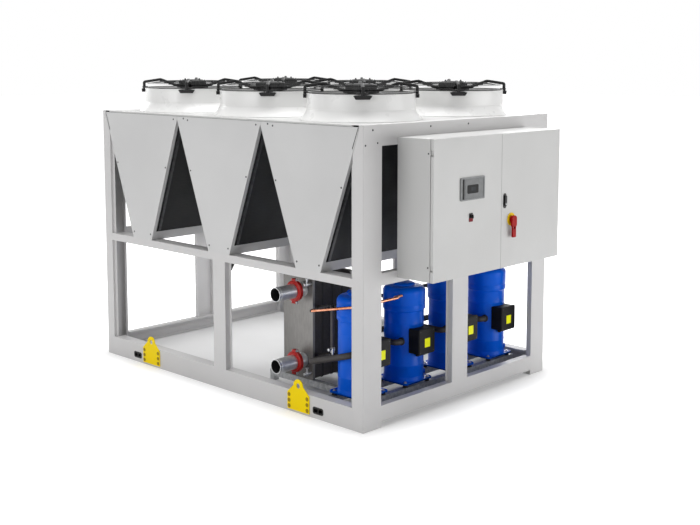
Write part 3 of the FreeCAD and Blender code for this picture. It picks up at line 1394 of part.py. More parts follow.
def hot_gas_line():
    """Bare copper from the evaporator's side, round the outermost shell to its neighbour's cap."""
    r = S.copper_radius
    front = COMPRESSOR_X + S.compressor_cap_radius + r * 1.5
    end = reach_of(COMPRESSOR_ROW[1], S.compressor_cap_radius, r)
    back = start_at_pack(r, COPPER_RISE)
    level = CAP_PORT - (SUCTION_FRONT - back) * COPPER_RISE
    return pipe("hot_gas_line", r, level, [
        (back, TAKE_OFF), (back + r * 9, TAKE_OFF), (back + r * 18, PIPE_WAY),
        (front - r * 4, PIPE_WAY), (front, PIPE_WAY + r * 4), (front, end - r * 14),
        (SUCTION_FRONT, end - r * 6), (SUCTION_FRONT, end)], True, COPPER_RISE)


node("copper_lines", group([discharge_branch(y) for y in COMPRESSOR_ROW]
                           + [discharge_header, hot_gas_line()]))


# Check every object, then write one file for each sub-part

def write_parts():
    doc.recompute()
    for thing in doc.Objects:
        if "Invalid" in thing.State or "Error" in thing.State:
            raise RuntimeError(f"{thing.Name} ({thing.Label}) failed: {thing.State}")
    os.makedirs("parts", exist_ok=True)
    for thing in NODES:
        shape = thing.Shape
        if shape.isNull() or not shape.isValid() or not shape.Solids:
            raise RuntimeError(f"{thing.Label} has no valid solid")
        shape.exportStep(f"parts/{thing.Label}.step")
        print(f"{thing.Label}: {len(shape.Solids)} solids, {shape.Volume / 1e6:.2f} litres")


write_parts()
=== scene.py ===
import bmesh
import bpy
import numpy as np
from mathutils import Matrix, Vector


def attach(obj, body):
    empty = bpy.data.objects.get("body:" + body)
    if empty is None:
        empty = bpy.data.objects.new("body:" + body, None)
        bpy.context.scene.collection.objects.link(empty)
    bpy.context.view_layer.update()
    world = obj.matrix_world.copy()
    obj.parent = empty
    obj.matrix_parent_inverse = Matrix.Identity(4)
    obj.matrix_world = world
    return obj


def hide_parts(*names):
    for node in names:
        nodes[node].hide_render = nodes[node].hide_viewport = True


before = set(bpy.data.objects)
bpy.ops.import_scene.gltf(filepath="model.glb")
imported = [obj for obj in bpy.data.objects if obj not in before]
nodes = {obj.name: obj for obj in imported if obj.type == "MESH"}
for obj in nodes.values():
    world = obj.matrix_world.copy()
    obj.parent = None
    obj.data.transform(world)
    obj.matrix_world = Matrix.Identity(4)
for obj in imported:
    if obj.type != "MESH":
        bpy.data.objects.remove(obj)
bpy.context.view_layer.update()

# Photo studio: a pale floor under a large overhead softbox, with weaker boxes all round and one in
# the plant bay. Camera, glossy and transmission rays see the room as white, and the floor adds
# light of its own for them, less of it close to the machine, so that only its shadow is grey.


def linear(code):
    """Turns an sRGB hex code into linear red, green, blue and alpha."""
    srgb = np.array([int(code[i:i + 2], 16) for i in (1, 3, 5)]) / 255
    low, high = srgb / 12.92, ((srgb + 0.055) / 1.055) ** 2.4
    return (*np.where(srgb <= 0.04045, low, high), 1.0)


def add_node(tree, kind, inputs=None, **settings):
    """Adds one node, sets its properties, and gives each named input a value or a link."""
    node = tree.nodes.new(kind)
    for name, value in settings.items():
        setattr(node, name, value)
    for name, value in (inputs or {}).items():
        if isinstance(value, bpy.types.NodeSocket):
            tree.links.new(value, node.inputs[name])
        else:
            node.inputs[name].default_value = value
    return node


def calculate(tree, operation, first, second):
    """The result of a math node."""
    return add_node(tree, "ShaderNodeMath", {0: first, 1: second}, operation=operation).outputs[0]


def remap(tree, value, low, high, from_low=0.3, from_high=0.7):
    """Stretches a value from one range to another, and holds it there."""
    return add_node(tree, "ShaderNodeMapRange", {"Value": value, "From Min": from_low, "From Max": from_high,
                                                 "To Min": low, "To Max": high}).outputs[0]


def seen_directly(tree):
    """One where the ray comes from the camera, a mirror or through glass, and zero elsewhere."""
    rays = add_node(tree, "ShaderNodeLightPath").outputs
    either = calculate(tree, "MAXIMUM", rays["Is Camera Ray"], rays["Is Glossy Ray"])
    return calculate(tree, "MAXIMUM", either, rays["Is Transmission Ray"])


room = bpy.data.worlds.new("white_room")
bpy.context.scene.world = room
room.use_nodes = True
tree = room.node_tree
tree.nodes.clear()
strength = remap(tree, seen_directly(tree), 0.27, 1.0, 0.0, 1.0)
sky = add_node(tree, "ShaderNodeBackground", {"Color": linear("#ffffff"), "Strength": strength})
add_node(tree, "ShaderNodeOutputWorld", {"Surface": sky.outputs[0]})

REACH = 60.0
floor_mesh = bpy.data.meshes.new("floor")
floor_mesh.from_pydata([(x * REACH, y * REACH, -0.001) for x, y in ((-1, -1), (1, -1), (1, 1), (-1, 1))], [],
                       [(0, 1, 2, 3)])
floor = bpy.data.objects.new("floor", floor_mesh)
bpy.context.scene.collection.objects.link(floor)
vinyl = bpy.data.materials.new("matt_white_studio_vinyl")
vinyl.use_nodes = True
tree = vinyl.node_tree
tree.nodes.clear()
matt = add_node(tree, "ShaderNodeBsdfDiffuse", {"Color": linear("#ececec"), "Roughness": 0.3})
where = add_node(tree, "ShaderNodeNewGeometry").outputs["Position"]
spread = add_node(tree, "ShaderNodeVectorMath", {0: where}, operation="ABSOLUTE").outputs[0]
half_frame = (1.592, 1.137, 0.0)
beside = add_node(tree, "ShaderNodeVectorMath", {0: spread, 1: half_frame}, operation="SUBTRACT").outputs[0]
beside = add_node(tree, "ShaderNodeSeparateXYZ", {0: beside}).outputs
away = calculate(tree, "MAXIMUM", beside[0], beside[1])
lift = calculate(tree, "MULTIPLY", seen_directly(tree), remap(tree, away, 0.2, 1.0, 0.0, 0.45))
own_light = add_node(tree, "ShaderNodeEmission", {"Color": linear("#ffffff"), "Strength": lift})
both = add_node(tree, "ShaderNodeAddShader", {0: matt.outputs[0], 1: own_light.outputs[0]})
add_node(tree, "ShaderNodeOutputMaterial", {"Surface": both.outputs[0]})
floor_mesh.materials.append(vinyl)


def softbox(name, place, target, width, height, power):
    """A rectangular area lamp at a place, turned so that its face looks at the target."""
    lamp = bpy.data.lights.new(name, "AREA")
    lamp.shape, lamp.size, lamp.size_y, lamp.energy = "RECTANGLE", width, height, power
    thing = bpy.data.objects.new(name, lamp)
    thing.location = place
    thing.rotation_mode = "QUATERNION"
    thing.rotation_quaternion = (Vector(target) - Vector(place)).to_track_quat("-Z", "Y")
    bpy.context.scene.collection.objects.link(thing)
    return thing


softbox("overhead_box", (0.2, 0.3, 8.0), (0, 0, 1), 7.0, 6.0, 620)
softbox("front_box", (0.4, -9.4, 3.6), (0.5, 0, 1.2), 5.0, 3.5, 250)
softbox("right_box", (7.4, 3.0, 1.15), (1.6, 0.8, 0.5), 5.0, 2.2, 165)
softbox("back_box", (-4.0, 9.5, 4.2), (0, 0, 0.6), 6.0, 3.0, 250)
softbox("left_box", (-9.5, -0.5, 3.6), (0, 0, 0.6), 5.0, 3.0, 190)
bay_box = softbox("bay_box", (-0.65, 0, 1.02), (-0.65, 0, 0), 1.3, 1.6, 8)
bay_box.visible_camera = bay_box.visible_glossy = False

# Camera: a 57 mm lens on a 36 mm sensor, nearly eight metres off the corner by the control cabinet
# and just above the fans, tipped down a little and shifted down for the rest.

camera = bpy.data.objects.new("camera", bpy.data.cameras.new("camera"))
bpy.context.scene.collection.objects.link(camera)
camera.data.lens, camera.data.sensor_width, camera.data.shift_y = 57.241, 36.0, -0.12
camera.location = (6.8628, -6.7292, 2.6816)
camera.rotation_euler = np.radians([90 - 6.294, 0, 43.941])
bpy.context.scene.camera = camera
bpy.context.scene.view_settings.view_transform = "Standard"

# Frame, rails, deck and cabinet: folded galvanised steel sheet with a polyester powder coat,
# baked to a satin light grey. The melted powder leaves a faint orange peel. The deck's and the
# cabinet's coats are darker copies of the frame's grey: painted shade against the strong light on
# the deck top and the cabinet front.


def material(name, inputs):
    """A material with a Principled shader on its output, and the Object coordinates to draw on."""
    made = bpy.data.materials.new(name)
    made.use_nodes = True
    tree = made.node_tree
    tree.nodes.clear()
    shader = add_node(tree, "ShaderNodeBsdfPrincipled", inputs)
    add_node(tree, "ShaderNodeOutputMaterial", {"Surface": shader.outputs[0]})
    return made, tree, shader, add_node(tree, "ShaderNodeTexCoord").outputs["Object"]


def noise(tree, place, size, detail=2.0):
    """Cloudy noise whose patches are about size metres across."""
    cloud = {"Vector": place, "Scale": 1 / size, "Detail": detail}
    return add_node(tree, "ShaderNodeTexNoise", cloud).outputs["Fac"]


def blend_colour(tree, amount, first, second):
    """Runs from the first colour, a hex code or linear values, to the second as amount goes to one."""
    first, second = [linear(colour) if isinstance(colour, str) else colour for colour in (first, second)]
    return add_node(tree, "ShaderNodeMix", {0: amount, 6: first, 7: second}, data_type="RGBA").outputs[2]


def relief(tree, shader, height, depth):
    """Tips the surface by a height pattern whose full swing is depth metres."""
    bump = add_node(tree, "ShaderNodeBump", {"Height": height, "Distance": depth, "Strength": 1.0})
    tree.links.new(bump.outputs[0], shader.inputs["Normal"])


def mottled(name, inputs, colours, patch, roughness, grain, lumps=(), span=(0.3, 0.7)):
    """Two colours in clouds whose patch gives their size and detail, and a roughness between two values
    in clouds of grain. Lumps adds relief: size, detail and depth. Span is the noise that is stretched."""
    made, tree, shader, place = material(name, inputs)
    tone = remap(tree, noise(tree, place, *patch), 0.0, 1.0, *span)
    tree.links.new(blend_colour(tree, tone, *colours), shader.inputs["Base Color"])
    tree.links.new(remap(tree, noise(tree, place, *grain), *roughness), shader.inputs["Roughness"])
    if lumps:
        relief(tree, shader, noise(tree, place, *lumps[:2]), lumps[2])
    return made


def powder_coat(name, pale, dark, roughness=0.42, peel=0.006, shine=0.5):
    """Satin powder coat; the peel is drawn at 6 mm, coarser than the real 2 mm, so that it shows."""
    return mottled(name, {"IOR": 1.5, "Specular IOR Level": shine}, (dark, pale), (0.9, 3.0),
                   (roughness - 0.04, roughness + 0.05), (0.12, 3.0), (peel, 1.0, 0.00008), (0.35, 0.65))


def dress(finish, *names):
    """Gives carried-over nodes their finish."""
    for name in names:
        nodes[name].data.materials.clear()
        nodes[name].data.materials.append(finish)


frame_coat = powder_coat("satin_grey_powder_coat", "#cecdcd", "#c8c7c7")
panel_coat = powder_coat("panel_grey_powder_coat", "#cccccc", "#c6c6c6", 0.38)
# The cabinet's coat is a darker copy of the frame's grey: painted shade.
darkened_cabinet_paint = powder_coat("painted_shade_cabinet_grey_coat", "#c5c5c4", "#c0c0bf", 0.36, 0.004)
# The floor pan is pale, and its coat is whiter than the frame's grey: partly painted light, to brighten the
# pan in the shade under the deck.
dress(powder_coat("pan_paint_whitened_as_painted_light", "#f2f2f2", "#ececec", 0.5), "floor_pan")
# The deck's coat is a darker copy of the frame's grey: painted shade against the strong overhead light.
dress(powder_coat("painted_shade_deck_grey_coat", "#c0c0bf", "#babab9", 0.36), "deck_plates")
frame_steel = ("corner_posts", "side_mid_posts", "end_mid_posts", "base_side_rails", "base_end_rails",
               "mid_side_rails", "mid_end_rails", "top_end_fascias")
cabinet_steel = ("cabinet_shell", "left_door", "right_door")
dress(frame_coat, *frame_steel, "top_side_rails")
dress(panel_coat, "module_side_panels", "coil_troughs")
dress(darkened_cabinet_paint, *cabinet_steel, "cabinet_hinges")
for name in (*frame_steel, "deck_plates", "module_side_panels", *cabinet_steel):
    fold = nodes[name].modifiers.new("fold", "BEVEL")
    fold.width, fold.segments, fold.limit_method, fold.angle_limit = 0.0012, 2, "ANGLE", np.radians(50)
    fold.harden_normals = True

# Beams, crossmembers and the equipment skid: hot-dip galvanised steel. Zinc freezes in large
# crystals, so neighbouring patches of a few centimetres differ in tone and gloss.


def galvanised(name, pale="#c4c6c7", dark="#a3a6a8", metallic=0.6):
    """Patches of 18 mm, each with a tone and a gloss of its own."""
    made, tree, shader, place = material(name, {"Metallic": metallic})
    crystals = add_node(tree, "ShaderNodeTexVoronoi", {"Vector": place, "Scale": 1 / 0.018})
    shade = add_node(tree, "ShaderNodeSeparateColor", {"Color": crystals.outputs["Color"]}).outputs[0]
    tree.links.new(blend_colour(tree, shade, dark, pale), shader.inputs["Base Color"])
    tree.links.new(remap(tree, shade, 0.34, 0.52, 0, 1), shader.inputs["Roughness"])
    relief(tree, shader, noise(tree, place, 0.004), 0.00005)
    return made


zinc = galvanised("hot_dip_galvanised_steel")
dress(zinc, "deck_beams", "base_crossmembers", "equipment_skid", "mounting_plate")
dress(powder_coat("black_powder_coat", "#161616", "#101010", 0.45, shine=0.3), "post_gussets")

# Handling slots in the long base rails: a moulded black liner snaps into each punched slot, with
# two windows for the hooks of a sling and a bar between them.


def skin(grid, ring=False):
    """Joins a grid of points, rows by columns, into quads. Columns always close into a loop; rows close
    too for a ring, and are otherwise capped at both ends. Returns the points and arrays of faces."""
    rows, columns = grid.shape[:2]
    index = np.arange(rows * columns).reshape(rows, columns)
    following = np.roll(index, -1, axis=0) if ring else index[1:]
    first = index if ring else index[:-1]
    quads = np.stack([first, np.roll(first, -1, 1), np.roll(following, -1, 1), following], -1).reshape(-1, 4)
    caps = [] if ring else [index[:1, ::-1], index[-1:]]
    return grid.reshape(-1, 3), [quads] + caps


def prism(outline, low, high, axes="xyz"):
    """A flat outline carried straight from low to high; axes names the outline's two axes, then its run."""
    outline = np.asarray(outline, float)
    grid = np.empty((2, len(outline), 3))
    order = ["xyz".index(axis) for axis in axes]
    grid[:, :, order[0]], grid[:, :, order[1]] = outline[:, 0], outline[:, 1]
    grid[0, :, order[2]], grid[1, :, order[2]] = low, high
    return skin(grid)


def moved(shell, *places):
    """Copies of a shell, one with its origin at each place."""
    points, faces = shell
    places = np.asarray(places, float)
    steps = np.arange(len(places)) * len(points)
    return ((points[None] + places[:, None]).reshape(-1, 3),
            [(block[None] + steps[:, None, None]).reshape(-1, block.shape[1]) for block in faces])


def turned(shell, axis, degrees):
    """A shell turned about an axis through the origin."""
    matrix = np.array(Matrix.Rotation(np.radians(degrees), 3, axis))
    return shell[0] @ matrix.T, shell[1]


def joined(*shells):
    """Several shells as one."""
    starts = np.cumsum([0] + [len(points) for points, _ in shells])
    return (np.concatenate([points for points, _ in shells]),
            [block + start for (_, faces), start in zip(shells, starts) for block in faces])


def flipped(shell, axis):
    """A shell's mirror image, which runs the other way along the axis."""
    return shell[0] * np.where(np.arange(3) == "xyz".index(axis), -1, 1), shell[1]


def both_sides(shell):
    """A shell on the front long side of the machine, and its mirror image on the back one."""
    return joined(shell, flipped(shell, "y"))


def piece(name, parts, body, replaces=(), bevel=0.0):
    """Builds one object from pairs of shell and material, turns its faces outwards, smooths what meets
    at less than 35 degrees, and lets it ride on its body."""
    mesh = bpy.data.meshes.new(name)
    points, faces = joined(*[shell for shell, _ in parts])
    mesh.from_pydata(points.tolist(), [], [face for block in faces for face in block.tolist()])
    finishes = list(dict.fromkeys(finish for _, finish in parts))
    marks = np.concatenate([np.full(sum(len(block) for block in shell[1]), finishes.index(finish))
                            for shell, finish in parts])
    mesh.polygons.foreach_set("material_index", marks.astype(np.int32))
    for finish in finishes:
        mesh.materials.append(finish)
    mesh.validate()
    work = bmesh.new()
    work.from_mesh(mesh)
    bmesh.ops.recalc_face_normals(work, faces=work.faces)
    work.to_mesh(mesh)
    work.free()
    mesh.polygons.foreach_set("use_smooth", np.ones(len(mesh.polygons), bool))
    mesh.set_sharp_from_angle(angle=np.radians(35))
    thing = bpy.data.objects.new(name, mesh)
    bpy.context.scene.collection.objects.link(thing)
    if bevel:
        edge = thing.modifiers.new("edge", "BEVEL")
        edge.width, edge.segments, edge.limit_method, edge.angle_limit = bevel, 2, "ANGLE", np.radians(40)
        edge.harden_normals = True
    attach(thing, body)
    if replaces:
        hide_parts(*replaces)


def rounded(width, height, radius, across=0.0, up=0.0, steps=5):
    """A rectangle whose corners are quarter circles: corner centre + radius times (cos t, sin t)."""
    t = np.linspace(0, np.pi / 2, steps)
    loops = []
    for quarter, (sx, sy) in enumerate(((1, 1), (-1, 1), (-1, -1), (1, -1))):
        turn = t + quarter * np.pi / 2
        loops.append(np.stack([across + sx * (width / 2 - radius) + radius * np.cos(turn),
                               up + sy * (height / 2 - radius) + radius * np.sin(turn)], -1))
    return np.concatenate(loops)


def frame_ring(outer, inner, low, high, axes="xyz"):
    """A flat band between two outlines with equally many corners, carried from low to high."""
    order = ["xyz".index(axis) for axis in axes]
    grid = np.empty((4, len(outer), 3))
    for row, (outline, level) in enumerate(((outer, low), (outer, high), (inner, high), (inner, low))):
        grid[row][:, order[:2]] = outline
        grid[row][:, order[2]] = level
    return skin(grid, ring=True)


def moulded(name, colour, roughness=0.45, grain=0.0012, depth=0.00004, shine=0.5):
    """Moulded plastic: one colour through and through, with the fine spark grain of its tool."""
    darker = (*[0.82 * value for value in linear(colour)[:3]], 1.0)
    return mottled(name, {"IOR": 1.5, "Specular IOR Level": shine}, (darker, colour), (0.03, 3.0),
                   (roughness - 0.06, roughness + 0.06), (0.01, 2.0), (grain * 2, 2.0, depth))


black_nylon = moulded("moulded_black_nylon", "#0c0c0d", 0.42, shine=0.3)
liner_rim = frame_ring(rounded(0.112, 0.054, 0.016), rounded(0.086, 0.03, 0.008), -1.1262, -1.121, "xzy")
liner_bar = prism(rounded(0.01, 0.034, 0.003), -1.1245, -1.08, "xzy")
liner_sleeve = frame_ring(rounded(0.094, 0.038, 0.012), rounded(0.086, 0.03, 0.008), -1.122, -1.06, "xzy")
liners = moved(joined(liner_rim, liner_bar, liner_sleeve), (-1.133, 0, 0.062), (1.133, 0, 0.062))
piece("slot_liners", [(both_sides(liners), black_nylon)], "chiller")

# Lifting plates: steel plate, flame cut round a lifting eye, powder coated yellow and held to the
# base rail by six bolts in two columns, whose low heads are painted over; the heads are drawn in a
# darker yellow, painted shade that makes them read as dark dots.

ALONG = {"z": [0, 1, 2], "y": [0, 2, 1], "x": [2, 0, 1]}


def lathe(profile, turns=48, axis="z", ring=False):
    """Each point (radius, height) of the profile goes once round the axis: (r cos t, r sin t, h)."""
    profile = np.asarray(profile, float)
    radius, height = np.maximum(profile[:, :1], 1e-5), profile[:, 1:]
    t = np.arange(turns) / turns * 2 * np.pi
    grid = np.stack([radius * np.cos(t), radius * np.sin(t), height + 0 * t], -1)
    return skin(grid[..., ALONG[axis]], ring)


def circle(radius, steps):
    """Points round a circle: radius times (cos t, sin t)."""
    t = np.arange(steps) / steps * 2 * np.pi
    return np.stack([radius * np.cos(t), radius * np.sin(t)], -1)


def hexagon_bolt(size, axis="z"):
    """A washer with a six-sided head on it, size across the flats, standing on its origin."""
    washer = lathe([(0, 0), (size, 0), (size, size * 0.14), (0, size * 0.14)], 20)
    corners = circle(size * 0.577, 6)
    points, faces = joined(washer, prism(corners, size * 0.14, size * 0.62),
                           prism(corners * 0.86, size * 0.62, size * 0.7))
    return points[:, ALONG[axis]], faces


PLATES = (-0.926, 0.926)
PLATE_FACE = -1.1335
EYE_LEVEL = 0.212
yellow_coat = powder_coat("traffic_yellow_powder_coat", "#ffe000", "#f8d800", 0.45, shine=0.12)
lifting_outline = np.array([(0.05 * np.cos(t), 0.05 * np.sin(t)) for t in np.linspace(0, np.pi, 17)]
                           + [(-0.118, -0.062), (-0.118, -0.12), (-0.118, -0.194), (-0.05, -0.194),
                              (0, -0.194), (0.05, -0.194), (0.118, -0.194), (0.118, -0.12),
                              (0.118, -0.062)])
eye = 0.02 * lifting_outline / np.linalg.norm(lifting_outline, axis=1)[:, None]
lifting_plate = frame_ring(lifting_outline + [0, EYE_LEVEL], eye + [0, EYE_LEVEL], PLATE_FACE, -1.1249,
                           "xzy")
front_plates = moved(lifting_plate, *[(x, 0, 0) for x in PLATES])
piece("lifting_plate_set", [(both_sides(front_plates), yellow_coat)], "chiller",
      ["lifting_plates"], bevel=0.0012)
low_head = flipped(hexagon_bolt(0.016, "y"), "y")
low_head = (low_head[0] * [1, 0.3, 1], low_head[1])
front_bolts = moved(low_head, *[(x + side * 0.098, PLATE_FACE, z) for x in PLATES for side in (-1, 1)
                                for z in (0.042, 0.086, 0.13)])
# A darker yellow on the bolt heads: painted shade.
shaded_bolt_paint = powder_coat("yellow_bolt_paint_darkened_as_painted_shade", "#a88a06", "#8f7604", 0.5, shine=0.2)
piece("lifting_plate_bolts", [(both_sides(front_bolts), shaded_bolt_paint)], "chiller")

# Condenser modules: folded side panels held by blind rivets, with the coils behind them. A coil
# is a pack of thin aluminium fins on copper tubes; from outside it is a dark field of fine lines.

SIDE_FACE = -1.125
rivet_profile = [(0, 0), (0.0075, 0), (0.007, 0.0016), (0.0042, 0.003), (0, 0.0033)]
rivet_places = [(0.515 * side + offset, SIDE_FACE, level) for side in (-1, 1)
                for offset, level in ((-0.05, 2.16), (0.085, 2.172), (0.14, 2.16))]
for module in (-1, 0, 1):
    for offset, level in ((0.118, 1.16), (0.345, 1.75)):
        rivet_places += [(1.03 * module + side * offset, SIDE_FACE, level) for side in (-1, 1)]
front_rivets = moved(flipped(lathe(rivet_profile, 14, "y"), "y"), *rivet_places)
end_places = ((-1.03, 2.165), (-0.4, 2.165), (0.05, 2.165), (-1.105, 2.06), (-0.98, 2.072), (0.98, 2.072))
end_rivets = moved(lathe(rivet_profile, 14, "x"), *[(1.592, y, z) for y, z in end_places])
dark_steel = mottled("blackened_fastener_steel", {"Metallic": 0.5}, ("#2f3032", "#4a4b4d"), (0.01, 2.0),
                     (0.38, 0.55), (0.005, 2.0))
piece("panel_rivets", [(joined(both_sides(front_rivets), end_rivets), dark_steel)], "chiller")


def fin_stock():
    """Fins every 6 mm, drawn three times as coarse as the real 2 mm, over tube rows every 25 mm."""
    finish = {"Metallic": 0.2, "Specular IOR Level": 0.35}
    made, tree, shader, place = material("epoxy_coated_fin_stock", finish)
    axes = add_node(tree, "ShaderNodeSeparateXYZ", {"Vector": place}).outputs
    fin = remap(tree, calculate(tree, "PINGPONG", axes["Y"], 0.006), 0.0, 1.0, 0.0016, 0.0042)
    row = remap(tree, calculate(tree, "PINGPONG", axes["Z"], 0.0125), 0.55, 1.0, 0.0, 0.004)
    shade = calculate(tree, "MULTIPLY", fin, row)
    tree.links.new(blend_colour(tree, shade, "#08080a", "#212224"), shader.inputs["Base Color"])
    tree.links.new(remap(tree, noise(tree, place, 0.2), 0.45, 0.6), shader.inputs["Roughness"])
    relief(tree, shader, fin, 0.0006)
    return made


dress(fin_stock(), "condenser_coils")
coil_steel = galvanised("painted_coil_frame", "#4c4d4f", "#38393b", 0.1)
dress(coil_steel, "coil_end_plates", "coil_headers")

# Seals and a shadow line: a dark grey strip in the seal rubber's colour runs under the folded lip of
# the deck, painted shadow in the gap between deck and panels, and a bead of the rubber stands where
# each outer side panel meets the rebate of its corner post. Flat steel caps close the posts' tops.

rubber_and_shadow_strip_finish = mottled("rubber_and_shadow_strip_finish", {"IOR": 1.5}, ("#3c3c3d", "#4b4b4c"), (0.02, 2.0), (0.6, 0.8),
                      (0.004, 2.0))
# Painted shadow: a dark strip for the shade in the gap under the deck's lip.
shadow_gap_strip = prism([(-1.486, 2.1862), (1.486, 2.1862), (1.486, 2.1884), (-1.486, 2.1884)], -1.1256, -1.1225,
               "xzy")
bead = prism([(1.5445, 2.184), (1.5395, 2.184), (1.4815, 2.035), (1.487, 2.03)], -1.1262, -1.1225, "xzy")
bead_and_shadow_strip = joined(shadow_gap_strip, bead, flipped(bead, "x"))
piece("bead_and_shadow_strip", [(both_sides(bead_and_shadow_strip), rubber_and_shadow_strip_finish)], "chiller")
cap = prism(rounded(0.112, 0.193, 0.004, 1.5356, -1.0281, steps=3), 2.2003, 2.2015)
piece("corner_caps", [(both_sides(joined(cap, flipped(cap, "x"))), frame_coat)], "chiller")

# Fan nozzles: spun from 3 mm galvanised sheet and coated an off-white paler than the frame's grey;
# the extra paleness is painted light, so that the top-lit flares read bright. A rolled rim at the top,
# a straight throat, and a flare that settles onto the deck; each stands over its own air opening.

FANS = [(1.03 * column, 0.555 * row, 0) for column in (1, 0, -1) for row in (-1, 1)]
flare = [(0.415 + 0.05 * (1 - s) ** 1.4, 2.2035 + 0.0785 * s) for s in np.linspace(0, 1, 15)]
nozzle_profile = ([(0.412, 2.2005), (0.4658, 2.2005), (0.4658, 2.2035)] + flare
                  + [(0.4163, 2.2835), (0.4163, 2.2865), (0.415, 2.288), (0.415, 2.3925), (0.4168, 2.3945),
                     (0.4172, 2.3975), (0.416, 2.4002), (0.4135, 2.401), (0.412, 2.3995)])
# Paler than the frame's paint: painted light on the nozzles.
whitened_nozzle_paint = powder_coat("nozzle_paint_whitened_as_painted_light", "#e7e7e6", "#e1e1e0", 0.3)
nozzle = lathe(nozzle_profile, 160, ring=True)
for number, fan in enumerate(FANS, 1):
    piece(f"nozzle_{number}", [(moved(nozzle, fan), whitened_nozzle_paint)], "chiller",
          [f"fan_nozzle_{number}"])

# Fan guards: four bent square tubes clamp the nozzle's rim and carry the motor between them, with
# rings of round wire welded under them to keep hands out. All of it is powder coated black.


def sweep(section, path, up=(0, 0, 1)):
    """Carries a flat section along a path with mitred corners. The section's first axis lies across
    the path and its second one along up; a rounded path is a polyline with more points."""
    path, section = np.asarray(path, float), np.asarray(section, float)
    steps = np.diff(path, axis=0)
    steps /= np.linalg.norm(steps, axis=1)[:, None]
    before, after = np.vstack([steps[:1], steps]), np.vstack([steps, steps[-1:]])
    middle = before + after
    middle /= np.linalg.norm(middle, axis=1)[:, None]
    stretch = 1 / np.maximum(np.einsum("ij,ij->i", middle, after), 0.3)
    grid, side = [], np.cross(middle[0], up)
    for place, along, factor, bend in zip(path, middle, stretch, np.cross(before, after)):
        side = side - along * (side @ along)
        side /= np.linalg.norm(side)
        length = np.linalg.norm(bend)
        inward = np.cross(bend / length, along) if length > 1e-6 else np.zeros(3)
        points = np.outer(section[:, 0], side) + np.outer(section[:, 1], np.cross(side, along))
        grid.append(place + points + np.outer(points @ inward, inward) * (factor - 1))
    return skin(np.array(grid))


def ring_of(wire, radius, height, steps=96):
    """A round wire bent to a ring."""
    return lathe(circle(wire, 10) + [radius, height], steps, ring=True)


tube = rounded(0.023, 0.023, 0.004, steps=3)
arm_path = [(0.428, 2.372), (0.428, 2.443), (0.425, 2.45), (0.418, 2.4535), (0.3, 2.4715),
            (0.285, 2.473), (0.27, 2.469), (0.15, 2.424), (0.11, 2.4165)]
arm = sweep(tube, [(x, 0, z) for x, z in arm_path], up=(0, 1, 0))
clamp = prism([(-0.069, 2.391), (-0.052, 2.3655), (0.052, 2.3655), (0.069, 2.391), (0.052, 2.3955),
               (-0.052, 2.3955)], 0.417, 0.44, "yzx")
grip = prism(rounded(0.09, 0.01, 0.002, 0.0, 2.408), 0.402, 0.438, "yzx")
arms = joined(*[turned(joined(arm, clamp, grip), "Z", 45 + 90 * k) for k in range(4)])
KNEE = 0.285
inner_rings = [ring_of(0.0018, radius, 2.457 - 0.37 * (KNEE - radius)) for radius in (0.175, 0.212, 0.249)]
outer_rings = [ring_of(0.0018, radius, 2.457 - 0.15 * (radius - KNEE)) for radius in (0.321, 0.357, 0.393)]
rings = joined(ring_of(0.0035, KNEE, 2.458), *inner_rings, *outer_rings)
rim_wire = ring_of(0.003, 0.4135, 2.4045, 160)
guard_coat = powder_coat("black_guard_powder_coat", "#0f0f10", "#0a0a0b", 0.45, shine=0.3)
piece("guards", [(moved(joined(arms, rings, rim_wire), *FANS), guard_coat)], "chiller",
      ["fan_guards"])

# Fan motors: external-rotor motors in die-cast aluminium with upright cooling ribs, painted black;
# two cable studs stand on the cap and a flange is bolted between the guard's arms.

rib = prism(rounded(0.014, 0.0042, 0.0018, 0.113, 0.0, steps=3), 2.41, 2.46)
cooling_fins = [(radius, level + rise) for level in (2.4235, 2.442)
                for radius, rise in ((0.107, 0), (0.1205, 0), (0.1205, 0.003), (0.107, 0.003))]
motor_body = lathe([(0, 2.4015), (0.1375, 2.4015), (0.138, 2.403), (0.138, 2.4075), (0.1365, 2.4095),
                    (0.107, 2.41), *cooling_fins, (0.107, 2.4595), (0.1205, 2.46), (0.1205, 2.4625),
                    (0.118, 2.465), (0.096, 2.4655), (0.094, 2.469), (0.09, 2.4715),
                    (0.04, 2.472), (0.036, 2.474), (0, 2.4742)], 72)
stud = lathe([(0, 2.468), (0.009, 2.468), (0.009, 2.4765), (0.006, 2.477), (0.0055, 2.4838),
              (0, 2.4843)], 16)
cover_bolt = moved(hexagon_bolt(0.008), (0.107, 0, 2.4645))
motor = joined(motor_body, *[turned(rib, "Z", 11.25 * k) for k in range(32)],
               moved(stud, (0.06, 0.03, 0), (-0.03, -0.058, 0)),
               *[turned(cover_bolt, "Z", 45 + 90 * k) for k in range(4)])
cast_black = powder_coat("black_painted_die_casting", "#121213", "#0b0b0c", 0.45, 0.004, 0.35)
piece("motors", [(moved(motor, *FANS), cast_black)], "chiller", ["fan_motors"])

# Impellers: five moulded blades of glass-filled nylon swept forwards on a drum hub. Each blade
# section is an arc of camber wrapped round its cylinder, thickest a third of the way along.

IMPELLER_Z = 2.351


